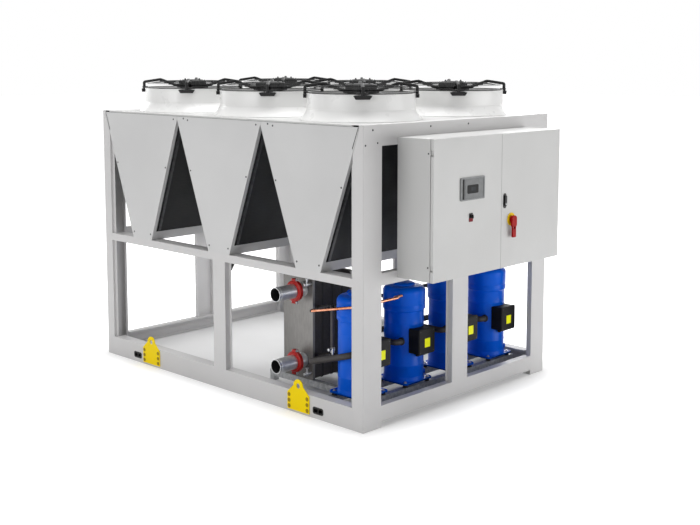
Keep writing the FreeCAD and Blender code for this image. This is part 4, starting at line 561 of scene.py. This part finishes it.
def blade():
    """At radius r the blade is swept forwards by 0.45 share^1.3 radians, and its stagger falls from 34 to
    15 degrees; camber is 4 (1 - s) s of its rise, and thickness the usual root-and-quartic of s."""
    across = np.linspace(0, 1, 17)
    s = (1 - np.cos(np.linspace(0, np.pi, 15))) / 2
    rows = []
    for share in across:
        radius = 0.099 + 0.298 * share
        chord = 0.15 + 0.075 * share - 0.03 * share ** 6
        stagger = np.radians(34 - 19 * share)
        along = (s - 0.5) * chord
        rise = 0.06 * chord * 4 * s * (1 - s)
        half = chord * 0.05 * (1.3 - 0.8 * share) * (2.969 * np.sqrt(s) - 1.26 * s - 3.516 * s ** 2
                                                     + 2.843 * s ** 3 - 1.036 * s ** 4)
        for sign in (1, -1):
            above = rise + sign * half
            turn = -(along * np.cos(stagger) - above * np.sin(stagger)) / radius - 0.45 * share ** 1.3
            height = IMPELLER_Z - along * np.sin(stagger) - above * np.cos(stagger) + 0.004
            loop = np.stack([radius * np.cos(turn), radius * np.sin(turn), height], -1)
            rows.append(loop if sign == 1 else loop[-2:0:-1])
    return skin(np.array([np.concatenate(rows[i:i + 2]) for i in range(0, len(rows), 2)]))


hub = lathe([(0, 2.3015), (0.088, 2.3015), (0.1, 2.306), (0.105, 2.316), (0.105, 2.399), (0.103, 2.4005),
             (0, 2.4005)], 64)
impeller = joined(hub, *[turned(blade(), "Z", 72 * k) for k in range(5)])
fan_nylon = moulded("glass_filled_black_nylon", "#262729", 0.4)
for number, fan in enumerate(FANS, 1):
    piece(f"impeller_{number}", [(moved(impeller, fan), fan_nylon)], f"fan_{number}",
          [f"fan_impeller_{number}"])

# Cabinet: blackened pan-head screws hold the front frame to the side flanges of the shell, near
# its edge, above and below the doors' hinges.

side_screw = lathe([(0, 0), (0.0065, 0), (0.0062, 0.0018), (0.004, 0.003), (0.0018, 0.003),
                    (0.0018, 0.0018), (0, 0.0018)], 16, "y")
near_screws = moved(flipped(side_screw, "y"), (1.88, -0.767, 1.19), (1.88, -0.767, 2.0))
far_screws = moved(side_screw, (1.88, 0.799, 1.19), (1.88, 0.799, 2.0))
piece("cabinet_screws", [(joined(near_screws, far_screws), dark_steel)], "chiller")

# Control display: a light grey moulded bezel on the left door, a hinged grey cover with a dark
# strip along its hinge, and a small liquid-crystal screen in a black rounded surround.

pale_plastic = moulded("light_grey_moulded_bezel", "#8f9192", 0.45, shine=0.3)
cover_plastic = moulded("grey_moulded_cover", "#7a7c7d", 0.45, shine=0.3)
strip_plastic = moulded("dark_hinge_strip", "#0d0d0e", 0.5, shine=0.15)
screen_glass = mottled("screen_glass", {"IOR": 1.5, "Specular IOR Level": 0.1}, ("#2e3235", "#3c4144"),
                       (0.05, 2.0), (0.08, 0.14), (0.02, 2.0))
DOOR_FACE = 1.9275
DISPLAY_CENTRE = (-0.328, 1.724)
bezel = frame_ring(rounded(0.281, 0.168, 0.009, *DISPLAY_CENTRE),
                   rounded(0.262, 0.149, 0.005, *DISPLAY_CENTRE), DOOR_FACE, 1.9365, "yzx")
cover = prism(rounded(0.2615, 0.1485, 0.0048, *DISPLAY_CENTRE), DOOR_FACE, 1.9335, "yzx")
raised = frame_ring(rounded(0.214, 0.136, 0.006, -0.308, 1.724),
                    rounded(0.206, 0.128, 0.004, -0.308, 1.724), 1.933, 1.9348, "yzx")
strip = prism(rounded(0.015, 0.146, 0.003, -0.4365, 1.724), 1.933, 1.9362, "yzx")
surround = prism(rounded(0.13, 0.063, 0.01, -0.3265, 1.7195), 1.933, 1.9352, "yzx")
screen = prism(rounded(0.05, 0.026, 0.002, -0.3215, 1.7215), 1.935, 1.9356, "yzx")
latch = prism(rounded(0.007, 0.02, 0.002, -0.198, 1.724), 1.933, 1.9362, "yzx")
piece("display", [(bezel, pale_plastic), (joined(cover, raised, latch), cover_plastic),
                  (joined(strip, surround), strip_plastic), (screen, screen_glass)],
      "left_door_body", ["control_display"], bevel=0.0005)

# Selector switch: a black two-finger knob on a black moulded plate, with a dark red foot below it,
# screwed to the left door.

dark_red = moulded("red_moulded_plastic", "#7a0817", 0.45, shine=0.15)
selector_foot = prism(rounded(0.044, 0.03, 0.004, -0.34, 1.4945), DOOR_FACE, 1.9305, "yzx")
selector_head = prism(rounded(0.04, 0.04, 0.006, -0.34, 1.524), DOOR_FACE, 1.9309, "yzx")
piece("selector_base", [(selector_foot, dark_red), (selector_head, black_nylon)], "left_door_body",
      ["selector_plate"], bevel=0.0006)
knob = lathe([(0, 1.908), (0.0145, 1.908), (0.0145, 1.9395), (0.0135, 1.9408), (0, 1.9408)], 40, "x")
knob = moved(knob, (0, -0.34, 1.52))
finger = prism(rounded(0.0085, 0.0285, 0.0035, -0.34, 1.52), 1.94, 1.952, "yzx")
mark = prism(rounded(0.0018, 0.01, 0.0008, -0.34, 1.5275), 1.9515, 1.9522, "yzx")
piece("selector", [(joined(knob, finger), black_nylon), (mark, pale_plastic)], "selector",
      ["selector_knob"], bevel=0.0006)

# Main isolator: a yellow disc on the right door with a red lever handle that stands clear of it;
# the lever has a hole for padlocks.

yellow_plastic = moulded("yellow_moulded_plastic", "#fdd612", 0.45, shine=0.15)
red_plastic = moulded("red_moulded_handle", "#a30609", 0.45, shine=0.12)
AXLE = (0, 0.157, 1.447)
disc = lathe([(0, DOOR_FACE), (0.0495, DOOR_FACE), (0.0495, 1.93), (0.0485, 1.931), (0.041, 1.931),
              (0.04, 1.9303), (0, 1.9303)], 72, "x")
piece("isolator_disc", [(moved(disc, AXLE), yellow_plastic)], "right_door_body",
      ["isolator_plate"])
waist = [(0.127, 1.404), (0.131, 1.398), (0.137, 1.39), (0.137, 1.382), (0.137, 1.372), (0.137, 1.358),
         (0.137, 1.314), (0.141, 1.31)]
grip_top = [(0.157 + 0.03 * np.cos(t), 1.452 + 0.026 * np.sin(t)) for t in np.linspace(0, np.pi, 15)]
grip_outline = np.array(grip_top + waist + [(2 * 0.157 - y, z) for y, z in waist[::-1]])
angles = np.arctan2(grip_outline[:, 1] - 1.384, grip_outline[:, 0] - 0.157)
hole = np.stack([0.157 + 0.0115 * np.cos(angles), 1.384 + 0.0115 * np.sin(angles)], -1)
handle = frame_ring(grip_outline, hole, 1.948, 1.9628, "yzx")
hub_post = lathe([(0, 1.908), (0.019, 1.908), (0.019, 1.9305), (0.0255, 1.9318), (0.0255, 1.9475),
                  (0, 1.9475)], 40, "x")
hub_post = moved(hub_post, AXLE)
pointer = prism(rounded(0.008, 0.03, 0.003, 0.157, 1.4555), 1.962, 1.9633, "yzx")
piece("isolator_lever", [(joined(handle, hub_post, pointer), red_plastic)], "isolator",
      ["isolator_handle"], bevel=0.0012)

# Door lever: a flush black swing handle in a long moulded plate with round ends, with its lock
# barrel below.

bright_zinc = mottled("zinc_plated_bolt_steel", {"Metallic": 1.0}, ("#a9abad", "#c9cacb"), (0.02, 2.0),
                      (0.28, 0.42), (0.006, 2.0), span=(0.0, 1.0))
plate = prism(rounded(0.0355, 0.1145, 0.0172, 0.073, 1.595, steps=9), DOOR_FACE, 1.9309, "yzx")
piece("lever_surround", [(plate, black_nylon)], "right_door_body", ["lever_plate"],
      bevel=0.001)
lever = prism(rounded(0.0235, 0.08, 0.011, 0.073, 1.5957, steps=7), 1.9325, 1.943, "yzx")
spindle = lathe([(0, 1.908), (0.009, 1.908), (0.009, 1.934), (0, 1.934)], 28, "x")
spindle = moved(spindle, (0, 0.073, 1.62375))
barrel = lathe([(0, 1.934), (0.0065, 1.934), (0.0065, 1.9425), (0.0052, 1.9433), (0, 1.9433)], 24, "x")
barrel = moved(barrel, (0, 0.073, 1.57))
piece("swing_handle", [(joined(lever, spindle), black_nylon), (barrel, bright_zinc)], "lever",
      ["door_lever"], bevel=0.0014)

# Electrical gear: rows of circuit breakers, contactors, drives, a transformer and slotted wiring
# ducts on the mounting plate, in grey, black and pale moulded plastic.

wiring_grey = moulded("slotted_duct_grey", "#9b9ea1", 0.5)
breaker_white = moulded("breaker_housing_white", "#dcdcd8", 0.42)
drive_grey = moulded("drive_housing_grey", "#55585c", 0.45)
MOUNTING_FACE = 1.623


def device(across, up, width, height, depth):
    """A box on the mounting plate whose places and sizes are shares of the cabinet's inside."""
    outline = rounded(1.566 * width, 1.02 * height, 0.003, 0.016 + 1.566 * across, 1.083 + 1.02 * up,
                      steps=3)
    return prism(outline, MOUNTING_FACE + 0.0005, MOUNTING_FACE + 0.335 * depth - 0.0005, "yzx")


breakers, contactors, toggles, terminals = [], [], [], []
for place in range(7):
    across = -0.36 + 0.045 * place
    breakers += [device(across, 0.8, 0.04, 0.11, 0.2), device(across, 0.8, 0.04, 0.05, 0.25)]
    toggles.append(device(across, 0.803, 0.012, 0.018, 0.26))
for place in range(5):
    across = -0.35 + 0.07 * place
    contactors += [device(across, 0.52, 0.058, 0.15, 0.28), device(across, 0.52, 0.058, 0.075, 0.36)]
    terminals += [device(across + 0.017 * k, 0.52 + up, 0.009, 0.016, 0.3)
                  for k in (-1, 0, 1) for up in (-0.056, 0.056)]
drives = [device(0.16, 0.74, 0.16, 0.26, 0.45), device(0.34, 0.74, 0.13, 0.26, 0.45),
          device(-0.22, 0.24, 0.3, 0.14, 0.3), device(0.32, 0.36, 0.16, 0.24, 0.4)]
panels = [device(0.16, 0.79, 0.1, 0.09, 0.462), device(0.34, 0.79, 0.08, 0.09, 0.462),
          device(0.16, 0.4, 0.1, 0.16, 0.3)]
ducts = [device(-0.2, up, 0.42, 0.035, 0.2) for up in (0.67, 0.38)]
gear = [(joined(*breakers), breaker_white), (joined(*contactors), drive_grey),
        (joined(*toggles), black_nylon), (joined(*terminals), bright_zinc), (joined(*drives), drive_grey),
        (joined(*panels), breaker_white), (joined(*ducts), wiring_grey)]
piece("cabinet_gear", gear, "chiller", ["electrical_gear"], bevel=0.0008)

# Scroll compressors: a drawn and welded steel shell in glossy blue enamel, with a pressed foot
# plate, a wider cap above the seam and a domed top, on four rubber mounts each.

COMPRESSORS = [(1.219, y, 0) for y in (-0.7775, -0.2625, 0.2825, 0.7975)]
enamel = mottled("blue_compressor_enamel", {"IOR": 1.5, "Specular IOR Level": 0.13}, ("#0059d6", "#0063e2"),
                 (0.25, 3.0), (0.28, 0.38), (0.05, 2.0), (0.007, 1.0, 0.0001))
t = np.linspace(0, np.pi / 2, 11)
dome = [(0.118 + 0.049 * np.cos(a), 0.858 + 0.044 * np.sin(a)) for a in t]
crown = [(0.06 + 0.026 * np.cos(a), 0.9065 + 0.019 * np.sin(a)) for a in t]
shell_profile = ([(0, 0.1665), (0.15, 0.1665), (0.156, 0.176), (0.157, 0.186), (0.157, 0.279),
                  (0.1588, 0.282), (0.1596, 0.2865), (0.1588, 0.291), (0.157, 0.294), (0.157, 0.61),
                  (0.1576, 0.612), (0.1576, 0.616), (0.157, 0.618), (0.157, 0.708), (0.1585, 0.711),
                  (0.16, 0.7145), (0.1625, 0.718), (0.1668, 0.722), (0.167, 0.728), (0.167, 0.757),
                  (0.1655, 0.76), (0.1655, 0.765), (0.167, 0.768)] + dome + crown + [(0, 0.9262)])
shell = lathe(shell_profile, 128)
foot_outline = rounded(0.33, 0.33, 0.036, steps=9)
foot = prism(foot_outline, 0.1535, 0.161)
foot_lip = frame_ring(foot_outline, rounded(0.32, 0.32, 0.031, steps=9), 0.1525, 0.1665)
collar = lathe([(0.15, 0.16), (0.164, 0.1615), (0.161, 0.178), (0.158, 0.196), (0.15, 0.2)], 96,
               ring=True)
sight = lathe([(0, 0.15), (0.019, 0.15), (0.019, 0.1665), (0.015, 0.169), (0, 0.169)], 28, "x")
sight = turned(moved(sight, (0, 0, 0.215)), "Z", 38)
relief_plug = moved(lathe([(0, 0), (0.013, 0), (0.013, 0.012), (0.009, 0.014), (0, 0.014)], 6),
                    (0.092, 0.05, 0.8905))
lift_lug = prism([(-0.024, 0.88), (0.024, 0.88), (0.02, 0.908), (0.01, 0.9215), (-0.01, 0.9215),
                  (-0.02, 0.908)], -0.104, -0.098, "yzx")
compressor = joined(shell, foot, foot_lip, collar, sight, relief_plug, lift_lug)
glass = mottled("oil_sight_glass", {"IOR": 1.5, "Coat Weight": 1.0}, ("#8c7a4a", "#b8ad86"), (0.01, 2.0),
                (0.05, 0.1), (0.004, 2.0))
lens = lathe([(0, 0.1685), (0.0125, 0.1685), (0.0125, 0.1697), (0, 0.1699)], 24, "x")
lens = turned(moved(lens, (0, 0, 0.215)), "Z", 38)
piece("compressor_shells", [(moved(compressor, *COMPRESSORS), enamel), (moved(lens, *COMPRESSORS), glass)],
      "chiller", ["compressors"])
mount = lathe([(0, 0.1303), (0.0205, 0.1303), (0.0215, 0.133), (0.019, 0.137), (0.019, 0.145),
               (0.0215, 0.149), (0.0205, 0.1518), (0, 0.1518)], 32)
bolt = moved(hexagon_bolt(0.0155), (0, 0, 0.164))
feet = [(cx + x, cy + y, 0) for cx, cy, _ in COMPRESSORS for x in (-0.13, 0.13) for y in (-0.13, 0.13)]
mount_rubber = mottled("black_mount_rubber", {"IOR": 1.5}, ("#151515", "#202020"), (0.01, 2.0), (0.7, 0.85),
                       (0.004, 2.0), (0.002, 2.0, 0.0001))
piece("compressor_mounts", [(moved(mount, *feet), mount_rubber)], "chiller", ["rubber_mounts"])
piece("compressor_bolts", [(moved(bolt, *feet), bright_zinc)], "chiller")

# Terminal boxes: black moulded boxes with a lid held by four screws; a plain yellow square marks
# each lid, and a cable gland comes out underneath.

box_shell = prism(rounded(0.184, 0.194, 0.01, 0.0, 0.49), 1.3495, 1.434, "yzx")
lid = prism(rounded(0.19, 0.2, 0.012, 0.0, 0.49), 1.435, 1.4555, "yzx")
lid_face = prism(rounded(0.176, 0.186, 0.01, 0.0, 0.49), 1.455, 1.4585, "yzx")
lid_screws = [(1.458, y, z) for y in (-0.077, 0.077) for z in (0.408, 0.572)]
lid_screw = (side_screw[0][:, [1, 0, 2]] * [0.6, 0.7, 0.7], side_screw[1])
gland = lathe([(0, 0.366), (0.013, 0.366), (0.015, 0.371), (0.015, 0.38), (0.019, 0.381), (0.019, 0.392),
               (0, 0.392)], 24)
gland = moved(gland, (1.392, -0.035, 0), (1.392, 0.035, 0))
square = prism(rounded(0.062, 0.07, 0.004, 0.004, 0.479, steps=3), 1.4583, 1.4592, "yzx")
yellow_foil = mottled("plain_yellow_foil", {"IOR": 1.5, "Specular IOR Level": 0.2}, ("#f6f800", "#ffff10"),
                      (0.03, 2.0), (0.3, 0.4), (0.01, 2.0))
box_offsets = [(0, y, 0) for _, y, _ in COMPRESSORS]
box_plastic = moulded("rough_black_housing", "#080809", 0.6, shine=0.2)
piece("terminal_housings", [(moved(joined(box_shell, lid, lid_face, gland), *box_offsets), box_plastic),
                            (moved(moved(lid_screw, *lid_screws), *box_offsets), dark_steel),
                            (moved(square, *box_offsets), yellow_foil)],
      "chiller", ["terminal_boxes"], bevel=0.0015)

# Evaporator: a brazed plate pack between two pressed steel cover plates. The covers keep their
# rolled grey steel; the pack is wrapped in closed-cell black insulation that shows its seams.

rolled_steel, tree, shader, place = material("rolled_steel_cover_plate", {"Metallic": 0.9})
axes = add_node(tree, "ShaderNodeVectorMath", {0: place, 1: (1.0, 1.0, 0.06)},
                operation="MULTIPLY").outputs[0]
drawn = remap(tree, noise(tree, axes, 0.0035, 4.0), 0.0, 1.0)
tree.links.new(blend_colour(tree, drawn, "#747371", "#848280"), shader.inputs["Base Color"])
tree.links.new(remap(tree, noise(tree, place, 0.08), 0.42, 0.55), shader.inputs["Roughness"])
relief(tree, shader, drawn, 0.00003)
PACK_CENTRE = (0.542, 0.545)
COVER_FACE = -0.7645
cover_outline = rounded(0.3355, 0.8295, 0.022, *PACK_CENTRE, steps=7)
plug = lathe([(0, 0), (0.024, 0), (0.024, 0.016), (0.021, 0.018), (0, 0.018)], 36, "y")
plugs = moved(flipped(plug, "y"), (0.482, COVER_FACE, 0.85), (0.482, COVER_FACE, 0.282))
drain = lathe([(0, 0), (0.011, 0), (0.011, 0.03), (0.018, 0.03), (0.018, 0.052), (0.013, 0.054),
               (0.013, 0.074), (0.009, 0.076), (0, 0.076)], 28, "y")
drain_stem = lathe([(0, 0.014), (0.007, 0.014), (0.007, 0.04), (0.0135, 0.041), (0.0135, 0.048),
                    (0, 0.049)], 20)
drain = joined(drain, moved(drain_stem, (0, 0.041, 0)))
drains = moved(flipped(drain, "y"), (0.686, COVER_FACE, 0.19), (0.686, COVER_FACE, 0.905))
covers = joined(*[prism(cover_outline, y, y + 0.0235, "xzy") for y in (-0.7648, -0.3388)])
piece("evaporator_covers", [(covers, rolled_steel), (joined(plugs, drains), bright_zinc)], "chiller",
      ["evaporator_end_plates"], bevel=0.0015)
foam = mottled("closed_cell_black_insulation", {"IOR": 1.5}, ("#1b1819", "#2b2625"), (0.15, 3.0),
               (0.55, 0.7), (0.02, 2.0), (0.006, 2.0, 0.0006))
pack_outline = rounded(0.323, 0.816, 0.02, *PACK_CENTRE, steps=7)
strap = frame_ring(rounded(0.33, 0.823, 0.0225, *PACK_CENTRE, steps=7),
                   rounded(0.318, 0.811, 0.018, *PACK_CENTRE, steps=7), -0.008, 0.008, "xzy")
seams = moved(strap, *[(0, y, 0) for y in (-0.65, -0.54, -0.43)])
piece("evaporator_wrap", [(prism(pack_outline, -0.7405, -0.3395, "xzy"), foam), (seams, mount_rubber)],
      "chiller", ["evaporator_pack"], bevel=0.003)

# Water pipes and stubs: 114 mm galvanised steel tube with a groove rolled near each end for the
# couplings; a dark sleeve inside the bore is painted shade.

pipe_steel = mottled("galvanised_water_tube", {"Metallic": 0.65}, ("#c2c4c6", "#dcdddd"), (0.05, 3.0),
                     (0.3, 0.4), (0.012, 2.0), (0.02, 2.0, 0.00003))
# Painted shade for the inside of the bore, drawn as a dark sleeve.
bore_shade_finish = mottled("tube_bore_painted_shade", {"Metallic": 0.4}, ("#1a1b1d", "#303234"), (0.03, 2.0),
                     (0.55, 0.7), (0.01, 2.0))


def grooved_tube(start, end):
    """Outside skin with a groove 16 mm from both ends, and an inside skin; both run along y."""
    groove = [(0.0571, 0.014), (0.0553, 0.0155), (0.0553, 0.024), (0.0571, 0.0255)]
    outside = ([(0.0545, start), (0.0562, start), (0.0571, start + 0.0012)]
               + [(r, start + d) for r, d in groove] + [(r, end - d) for r, d in groove[::-1]]
               + [(0.0571, end - 0.0012), (0.0562, end), (0.0545, end)])
    inside = [(0.0545, end), (0.0523, end - 0.0005), (0.0523, start + 0.0005), (0.0545, start)]
    return lathe(outside + inside[1:-1], 96, "y", ring=True)


PORTS = [(0.6, 0, 0.282), (0.6, 0, 0.85)]
water_tube = moved(grooved_tube(-1.063, -0.8568), *PORTS)
bore_shade_sleeve = lathe([(0.052, -1.06), (0.052, -0.86), (0.0505, -0.86), (0.0505, -1.06)], 64, "y", ring=True)
piece("water_tubes", [(water_tube, pipe_steel), (moved(bore_shade_sleeve, *PORTS), bore_shade_finish)], "chiller",
      ["water_pipes"])
piece("water_stubs", [(moved(grooved_tube(-0.8532, -0.7652), *PORTS), pipe_steel)], "chiller",
      ["evaporator_stubs"])

# Grooved couplings: two cast half rings with bolt pads above and below the pipe, dipped in
# orange-red enamel and drawn together by two track-head bolts.

coupling_red = powder_coat("coupling_red_enamel", "#b8150f", "#9d100b", 0.36, 0.005, 0.3)
half_ring = lathe([(0.0576, -0.8775), (0.07, -0.8775), (0.0745, -0.8755), (0.0765, -0.872),
                   (0.0835, -0.869), (0.0835, -0.841), (0.0765, -0.838), (0.0745, -0.8345),
                   (0.07, -0.8325), (0.0576, -0.8325)], 96, "y", ring=True)
pad = joined(*[prism(rounded(0.041, 0.019, 0.004, 0.0785, side * 0.011, steps=4), -0.8705, -0.8395, "zxy")
               for side in (-1, 1)])
nut = moved(hexagon_bolt(0.013, "x"), (0.0205, -0.855, 0.089))
head = lathe([(0, 0), (0.012, 0), (0.0115, 0.006), (0.006, 0.0105), (0, 0.011)], 24, "x")
head = moved(flipped(head, "x"), (-0.0205, -0.855, 0.089))
track_bolt = prism(circle(0.006, 20) + [-0.855, 0.089], -0.03, 0.034, "yzx")
pads = joined(pad, turned(pad, "Y", 180))
fixings = joined(nut, head, track_bolt)
fixings = joined(fixings, turned(fixings, "Y", 180))
piece("grooved_couplings", [(moved(joined(half_ring, pads), *PORTS), coupling_red),
                            (moved(fixings, *PORTS), bright_zinc)],
      "chiller", ["pipe_couplings"], bevel=0.0012)

# Suction lines: copper tube in black elastomer foam, from a flange on each shell round the
# terminal box to a header behind the compressors, and on to the back of the evaporator.


def bent(path, radius, steps=7):
    """Replaces each corner of a path by an arc of the given radius, tangent to both of its sides."""
    path = np.asarray(path, float)
    rows = [path[0]]
    for before, corner, after in zip(path[:-2], path[1:-1], path[2:]):
        first, second = before - corner, after - corner
        first, second = first / np.linalg.norm(first), second / np.linalg.norm(second)
        half = np.arccos(np.clip(first @ second, -1, 1)) / 2
        centre = corner + (first + second) / np.linalg.norm(first + second) * radius / np.sin(half)
        ends = [corner + side * radius / np.tan(half) - centre for side in (first, second)]
        turn = np.pi - 2 * half
        rows += [centre + (ends[0] * np.sin((1 - k) * turn) + ends[1] * np.sin(k * turn)) / np.sin(turn)
                 for k in np.linspace(0, 1, steps)]
    return np.array(rows + [path[-1]])


SUCTION_Z = 0.49
HEADER_X = 0.952
sleeve = circle(0.0238, 28)
branches = [sweep(sleeve, bent([(1.319, y - 0.1375, SUCTION_Z), (1.319, y - 0.205, SUCTION_Z),
                                (0.9765, y - 0.205, SUCTION_Z)], 0.038)) for _, y, _ in COMPRESSORS[1:]]
first_branch = sweep(sleeve, bent([(0.7065, -0.693, 0.3063), (0.815, -0.693, 0.3388),
                                   (0.905, -0.982, 0.3658), (1.319, -0.982, SUCTION_Z),
                                   (1.319, -0.9155, SUCTION_Z)], 0.045, 9))
header = sweep(sleeve, [(HEADER_X, -0.5155, SUCTION_Z), (HEADER_X, 0.6405, SUCTION_Z)])
link = sweep(sleeve, bent([(0.9277, -0.219, SUCTION_Z), (0.542, -0.219, SUCTION_Z),
                           (0.542, -0.3142, SUCTION_Z)], 0.05))
flange = lathe([(0, -0.137), (0.0305, -0.137), (0.0305, -0.147), (0.027, -0.15), (0, -0.15)], 36,
               "y")
flange = moved(moved(flange, (0.1, 0, SUCTION_Z)), *COMPRESSORS)
band = lathe([(0.0236, -0.01), (0.0244, -0.01), (0.0244, 0.01), (0.0236, 0.01)], 28, "y", ring=True)
bands = moved(band, *[(HEADER_X, y, SUCTION_Z) for y in (-0.1, 0.2, 0.45)])
piece("suction_pipes", [(joined(*branches, first_branch, header, link), foam),
                        (joined(flange, bands), mount_rubber)],
      "chiller", ["suction_lines"])

# Copper lines: the hot gas line is bare hard-drawn tube, a little browned by heat, once it is clear
# of the evaporator; up to there it wears a black foam sleeve, as the discharge header does.

DISCHARGE_Z = 0.772
bare_copper = mottled("bare_copper_tube", {"Metallic": 1.0}, ("#e0a184", "#b8714f"), (0.06, 3.0),
                      (0.18, 0.34), (0.02, 2.0), span=(0.35, 0.7))
tube_section = circle(0.0109, 20)
hot_path = bent([(0.7067, -0.693, 0.7148), (0.805, -0.693, 0.7364), (0.905, -0.982, 0.7584),
                 (1.4025, -0.982, 0.8679), (1.4025, -0.53, 0.8679), (1.319, -0.49, 0.8495),
                 (1.319, -0.4042, 0.8495)], 0.03)
split = np.argmax(hot_path[:, 1] < -0.9819) + 1
hot_sleeve = sweep(circle(0.0112, 20), hot_path[:split])
hot_gas = sweep(tube_section, hot_path[split - 1:])
discharge = [sweep(tube_section, [(1.0518, y, DISCHARGE_Z), (0.9635, y, DISCHARGE_Z)])
             for _, y, _ in COMPRESSORS]
discharge.append(sweep(tube_section, [(HEADER_X, -0.8105, DISCHARGE_Z), (HEADER_X, 0.8305, DISCHARGE_Z)]))
piece("copper_pipes", [(hot_gas, bare_copper), (joined(hot_sleeve, *discharge), foam)], "chiller",
      ["copper_lines"])

# Service valve: a plated stop valve at the foot of a riser in grey foam, which hangs from the
# discharge header beside the first compressor.

riser = lathe([(0, 0.452), (0.015, 0.452), (0.0155, 0.458), (0.0155, 0.757), (0.015, 0.76),
               (0, 0.76)], 28)
valve = lathe([(0, 0.392), (0.0085, 0.392), (0.0085, 0.404), (0.015, 0.406), (0.015, 0.424),
               (0.0205, 0.427), (0.0205, 0.446), (0.012, 0.45), (0.012, 0.456), (0, 0.456)], 28)
stem = lathe([(0, 0), (0.0085, 0), (0.0085, 0.024), (0.011, 0.026), (0.011, 0.044), (0, 0.045)], 20, "y")
stem = moved(flipped(stem, "y"), (0, 0, 0.436))
grey_foam = moulded("grey_foam_sleeve", "#5a5656", 0.65, 0.003, 0.0002, 0.2)
foot_of_riser = (HEADER_X, -0.79, 0)
piece("service_valve", [(moved(riser, foot_of_riser), grey_foam),
                        (moved(joined(valve, stem), foot_of_riser), bright_zinc)],
      "chiller")
